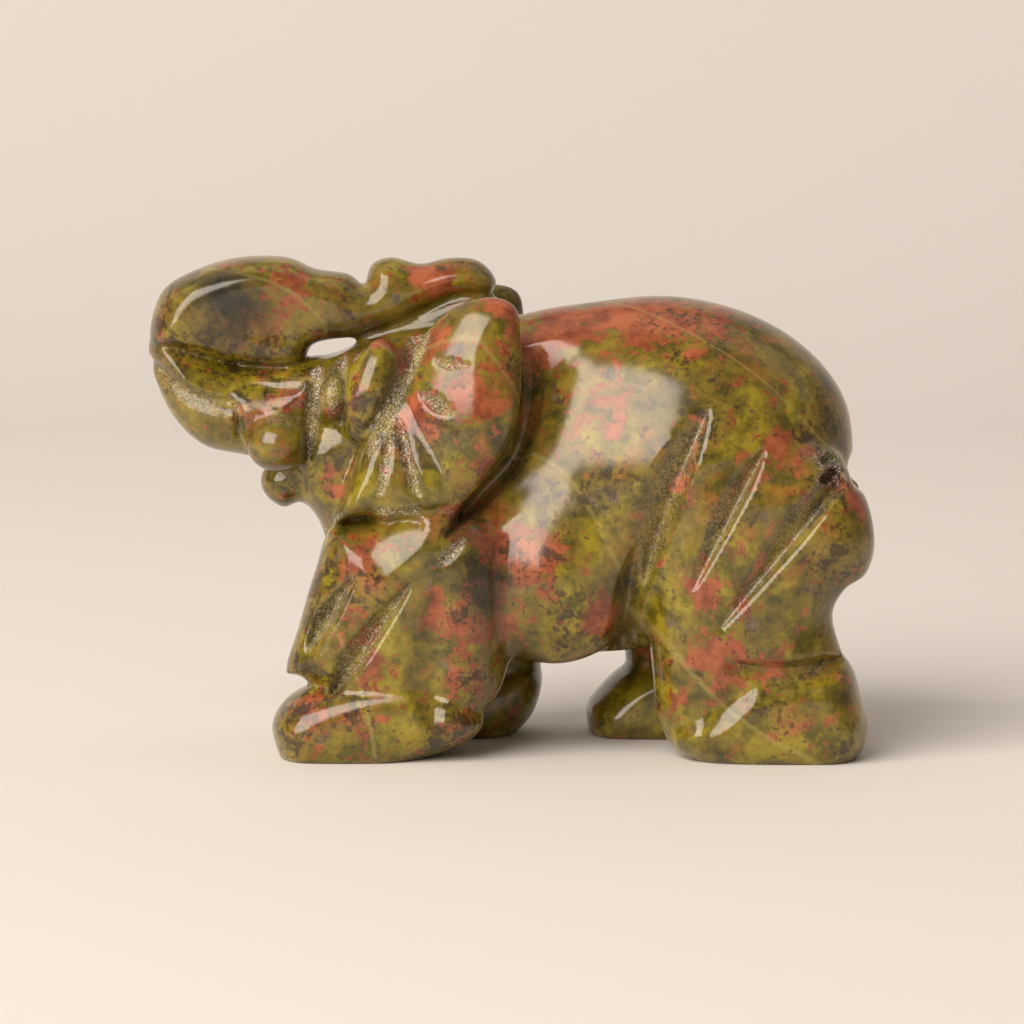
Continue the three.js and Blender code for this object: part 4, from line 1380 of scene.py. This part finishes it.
    def stone_colour(
        self,
        tree: bpy.types.NodeTree,
        place: bpy.types.NodeSocket,
        read: Mapping[str, bpy.types.NodeSocket],
    ) -> bpy.types.NodeSocket:
        """Mixes the colour of the polished stone, with painted shade laid over it.

        Args:
            tree: The material's node tree.
            place: The place in the stone, in metres.
            read: The figure's attributes, by name.

        Returns:
            The colour.
        """
        base = add_node(
            tree,
            "ShaderNodeTexNoise",
            {"Vector": place, "Scale": 1000 / self.ground_mm, "Detail": 8.0, "Roughness": 0.7},
        )
        start, end = self.ground_range
        tone = add_node(tree, "ShaderNodeMapRange", {0: base.outputs[0], 1: start, 2: end})
        colour = add_node(
            tree,
            "ShaderNodeMix",
            {0: tone.outputs[0], 6: linear(self.ground), 7: linear(self.dark_ground)},
            data_type="RGBA",
        ).outputs[2]
        low = add_node(
            tree,
            "ShaderNodeMapRange",
            {0: read["height"], 1: 0.0, 2: self.low_share, 3: self.low_bias, 4: 0.0},
        ).outputs[0]
        rose = add_node(
            tree, "ShaderNodeMath", {0: read["feldspar"], 1: self.rose_bias}, operation="MULTIPLY"
        ).outputs[0]
        layers = (
            (self.ochre, 0.0), (self.green, low), (self.quartz, 0.0), (self.crumbs, rose),
            (self.feldspar, rose),
        )
        for mineral, bias in layers:
            colour = self.scatter(tree, place, colour, mineral, bias)
        colour = self.veined(tree, place, colour)
        crowds = add_node(
            tree, "ShaderNodeTexNoise", {"Vector": place, "Scale": 1000 / self.crowd_mm}
        ).outputs[0]
        start, end = self.crowd_range
        crowd = add_node(
            tree,
            "ShaderNodeMapRange",
            {0: crowds, 1: start, 2: end, 3: self.crowd_bias, 4: -self.crowd_bias},
        ).outputs[0]
        for mineral in (self.blotches, self.specks):
            colour = self.scatter(tree, place, colour, mineral, crowd)
        # Painted shade: darkens the stone towards the shadow colour where the shade patches lie,
        # unevenly with the ground's noise.
        start, end = self.shadow_range
        thin, thick = self.shadow_cover
        cloud = add_node(
            tree, "ShaderNodeMapRange", {0: base.outputs[0], 1: start, 2: end, 3: thin, 4: thick}
        ).outputs[0]
        dark = add_node(
            tree,
            "ShaderNodeMath",
            {0: read["shade"], 1: cloud},
            operation="MULTIPLY",
            use_clamp=True,
        )
        return add_node(
            tree,
            "ShaderNodeMix",
            {0: dark.outputs[0], 6: colour, 7: linear(self.shadow)},
            data_type="RGBA",
        ).outputs[2]

    def veined(
        self, tree: bpy.types.NodeTree, place: bpy.types.NodeSocket, under: bpy.types.NodeSocket
    ) -> bpy.types.NodeSocket:
        """Draws thin pale veins along the crests of broad, gently bent waves.

        Args:
            tree: The material's node tree.
            place: The place in the stone, in metres.
            under: The colour that the veins run through.

        Returns:
            The colour with the veins in it.
        """
        waves = add_node(
            tree,
            "ShaderNodeTexWave",
            {
                "Vector": place,
                "Scale": WAVES_A_METRE / (self.vein_mm / 1000),
                "Distortion": self.vein_bend,
                "Detail": 2.0,
                "Detail Scale": 0.8,
            },
            bands_direction="DIAGONAL",
        )
        mask = add_node(
            tree,
            "ShaderNodeMapRange",
            {0: waves.outputs["Fac"], 1: 1 - self.vein_width, 2: 1.0, 4: self.vein_strength},
        )
        return add_node(
            tree,
            "ShaderNodeMix",
            {0: mask.outputs[0], 6: under, 7: linear(self.vein)},
            data_type="RGBA",
        ).outputs[2]

    def material(self) -> bpy.types.Material:
        """Makes the finish.

        Returns:
            The material.
        """
        material = bpy.data.materials.new(self.name)
        material.use_nodes = True
        tree = material.node_tree
        shader = next(n for n in tree.nodes if n.bl_idname == "ShaderNodeBsdfPrincipled")
        place = add_node(tree, "ShaderNodeTexCoord", {}).outputs["Object"]
        read = {
            name: add_node(tree, "ShaderNodeAttribute", {}, attribute_name=name).outputs["Fac"]
            for name in ("feldspar", "shade", "grit", "height")
        }
        colour = self.stone_colour(tree, place, read)
        grains = add_node(
            tree,
            "ShaderNodeTexNoise",
            {"Vector": place, "Scale": 1000 / self.grit_mm, "Detail": 2.0, "Roughness": 0.6},
        ).outputs[0]
        start, end = self.grit_range
        bare = add_node(
            tree, "ShaderNodeMapRange", {0: grains, 1: start, 2: end, 4: self.cut_strength}
        ).outputs[0]
        share = add_node(tree, "ShaderNodeMath", {0: read["grit"], 1: bare}, operation="MULTIPLY")
        sandy = add_node(
            tree,
            "ShaderNodeMix",
            {0: share.outputs[0], 6: colour, 7: linear(self.cut)},
            data_type="RGBA",
        ).outputs[2]
        start, end = self.cut_range
        rough = add_node(
            tree,
            "ShaderNodeMapRange",
            {0: read["grit"], 1: start, 2: end, 3: self.polish, 4: self.cut_roughness},
        ).outputs[0]
        bump = add_node(
            tree,
            "ShaderNodeBump",
            {"Height": grains, "Strength": read["grit"], "Distance": self.grit_height_mm / 1000},
        ).outputs[0]
        tree.links.new(sandy, shader.inputs["Base Color"])
        tree.links.new(rough, shader.inputs["Roughness"])
        tree.links.new(bump, shader.inputs["Normal"])
        shader.inputs["IOR"].default_value = self.ior
        return material


@dataclass(frozen=True)
class PalePaper:
    """Thick uncoated paper, pale and matte."""

    # Its felted fibres scatter the light evenly, so that the eye sees one soft tone with no sheen.
    name: str = "pale_paper"
    colour: str = "ebe8e5"
    roughness: float = 0.9

    def material(self) -> bpy.types.Material:
        """Makes the finish.

        Returns:
            The material.
        """
        material = bpy.data.materials.new(self.name)
        material.use_nodes = True
        nodes = material.node_tree.nodes
        shader = next(n for n in nodes if n.bl_idname == "ShaderNodeBsdfPrincipled")
        shader.inputs["Base Color"].default_value = linear(self.colour)
        shader.inputs["Roughness"].default_value = self.roughness
        return material


@dataclass(frozen=True)
class SoftLight:
    """A large soft light, its sizes in metres."""

    name: str
    place: Triple
    target: Triple
    size: tuple[float, float]
    watts: float
    colour: str = "fff4e8"

    def build(self) -> None:
        """Hangs the light and turns it to its target."""
        light = bpy.data.lights.new(self.name, "AREA")
        light.shape = "RECTANGLE"
        light.size, light.size_y = self.size
        light.energy = self.watts
        light.color = linear(self.colour)[:3]
        holder = bpy.data.objects.new(self.name, light)
        holder.location = self.place
        aim = Vector(self.target) - Vector(self.place)
        holder.rotation_euler = aim.to_track_quat("-Z", "Y").to_euler()
        bpy.context.scene.collection.objects.link(holder)


@dataclass(frozen=True)
class Studio:
    """A plain pale floor that sweeps up behind the figure, and plain soft light.

    The lengths are in metres.
    """

    floor_half: float = 0.6
    sweep_start: float = 0.25
    sweep_radius: float = 0.25
    sweep_steps: int = 12
    wall_height: float = 0.6
    paper: PalePaper = PalePaper()
    air: str = "fff0e0"
    air_strength: float = 0.24
    lights: tuple[SoftLight, ...] = (
        SoftLight("key", (-0.36, -0.45, 0.37), (0, 0, 0.02), (0.6, 0.6), 6.8),
        SoftLight("back", (0.0, 0.12, 0.35), (0, 0.35, 0.0), (1.0, 0.3), 0.35),
    )

    def build(self) -> None:
        """Builds the floor and the lights."""
        self.add_floor()
        for light in self.lights:
            light.build()
        self.add_air()

    def add_floor(self) -> None:
        """Adds the floor, which curves up into a wall far behind the figure."""
        bend = [
            (
                self.sweep_start + self.sweep_radius * math.sin(turn),
                self.sweep_radius * (1 - math.cos(turn)),
            )
            for turn in (
                math.pi / 2 * n / self.sweep_steps for n in range(self.sweep_steps + 1)
            )
        ]
        profile = [(-self.floor_half, 0.0), *bend, (bend[-1][0], self.wall_height)]
        points = [(side * 2 * self.floor_half, y, z) for y, z in profile for side in (-1, 1)]
        faces = [(2 * n, 2 * n + 1, 2 * n + 3, 2 * n + 2) for n in range(len(profile) - 1)]
        mesh = bpy.data.meshes.new("floor")
        mesh.from_pydata(points, [], faces)
        mesh.shade_smooth()
        mesh.materials.append(self.paper.material())
        floor = bpy.data.objects.new("floor", mesh)
        bpy.context.scene.collection.objects.link(floor)

    def add_air(self) -> None:
        """Fills the scene with even warm light from all round, shown without a film curve."""
        bpy.context.scene.view_settings.view_transform = "Standard"
        world = bpy.data.worlds.new("air")
        world.use_nodes = True
        nodes = world.node_tree.nodes
        background = next(n for n in nodes if n.bl_idname == "ShaderNodeBackground")
        background.inputs["Color"].default_value = linear(self.air)
        background.inputs["Strength"].default_value = self.air_strength
        bpy.context.scene.world = world


@dataclass(frozen=True)
class Camera:
    """The camera that shows the figure as the photograph does."""

    place: Triple = (0.00609, -0.34033, 0.05199)
    target: Triple = (0.00016, 0.0, 0.01621)
    lens_mm: float = 173.3
    sensor_mm: float = 36.0
    nearest: float = 0.01

    def build(self) -> None:
        """Adds the camera and makes it the scene's own."""
        camera = bpy.data.cameras.new("camera")
        camera.lens = self.lens_mm
        camera.sensor_width = self.sensor_mm
        camera.clip_start = self.nearest
        holder = bpy.data.objects.new("camera", camera)
        holder.location = self.place
        aim = Vector(self.target) - Vector(self.place)
        holder.rotation_euler = aim.to_track_quat("-Z", "Y").to_euler()
        bpy.context.scene.collection.objects.link(holder)
        bpy.context.scene.camera = holder


def main() -> None:
    """Builds the scene and notes how many facets the piece has."""
    logging.basicConfig(level=logging.INFO, format="%(message)s")
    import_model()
    stone = Unakite().material()
    piece = CarvedElephant().build(stone)
    log.info("%s: %d facets", piece.name, len(piece.data.polygons))
    Studio().build()
    Camera().build()


if __name__ == "__main__":
    main()
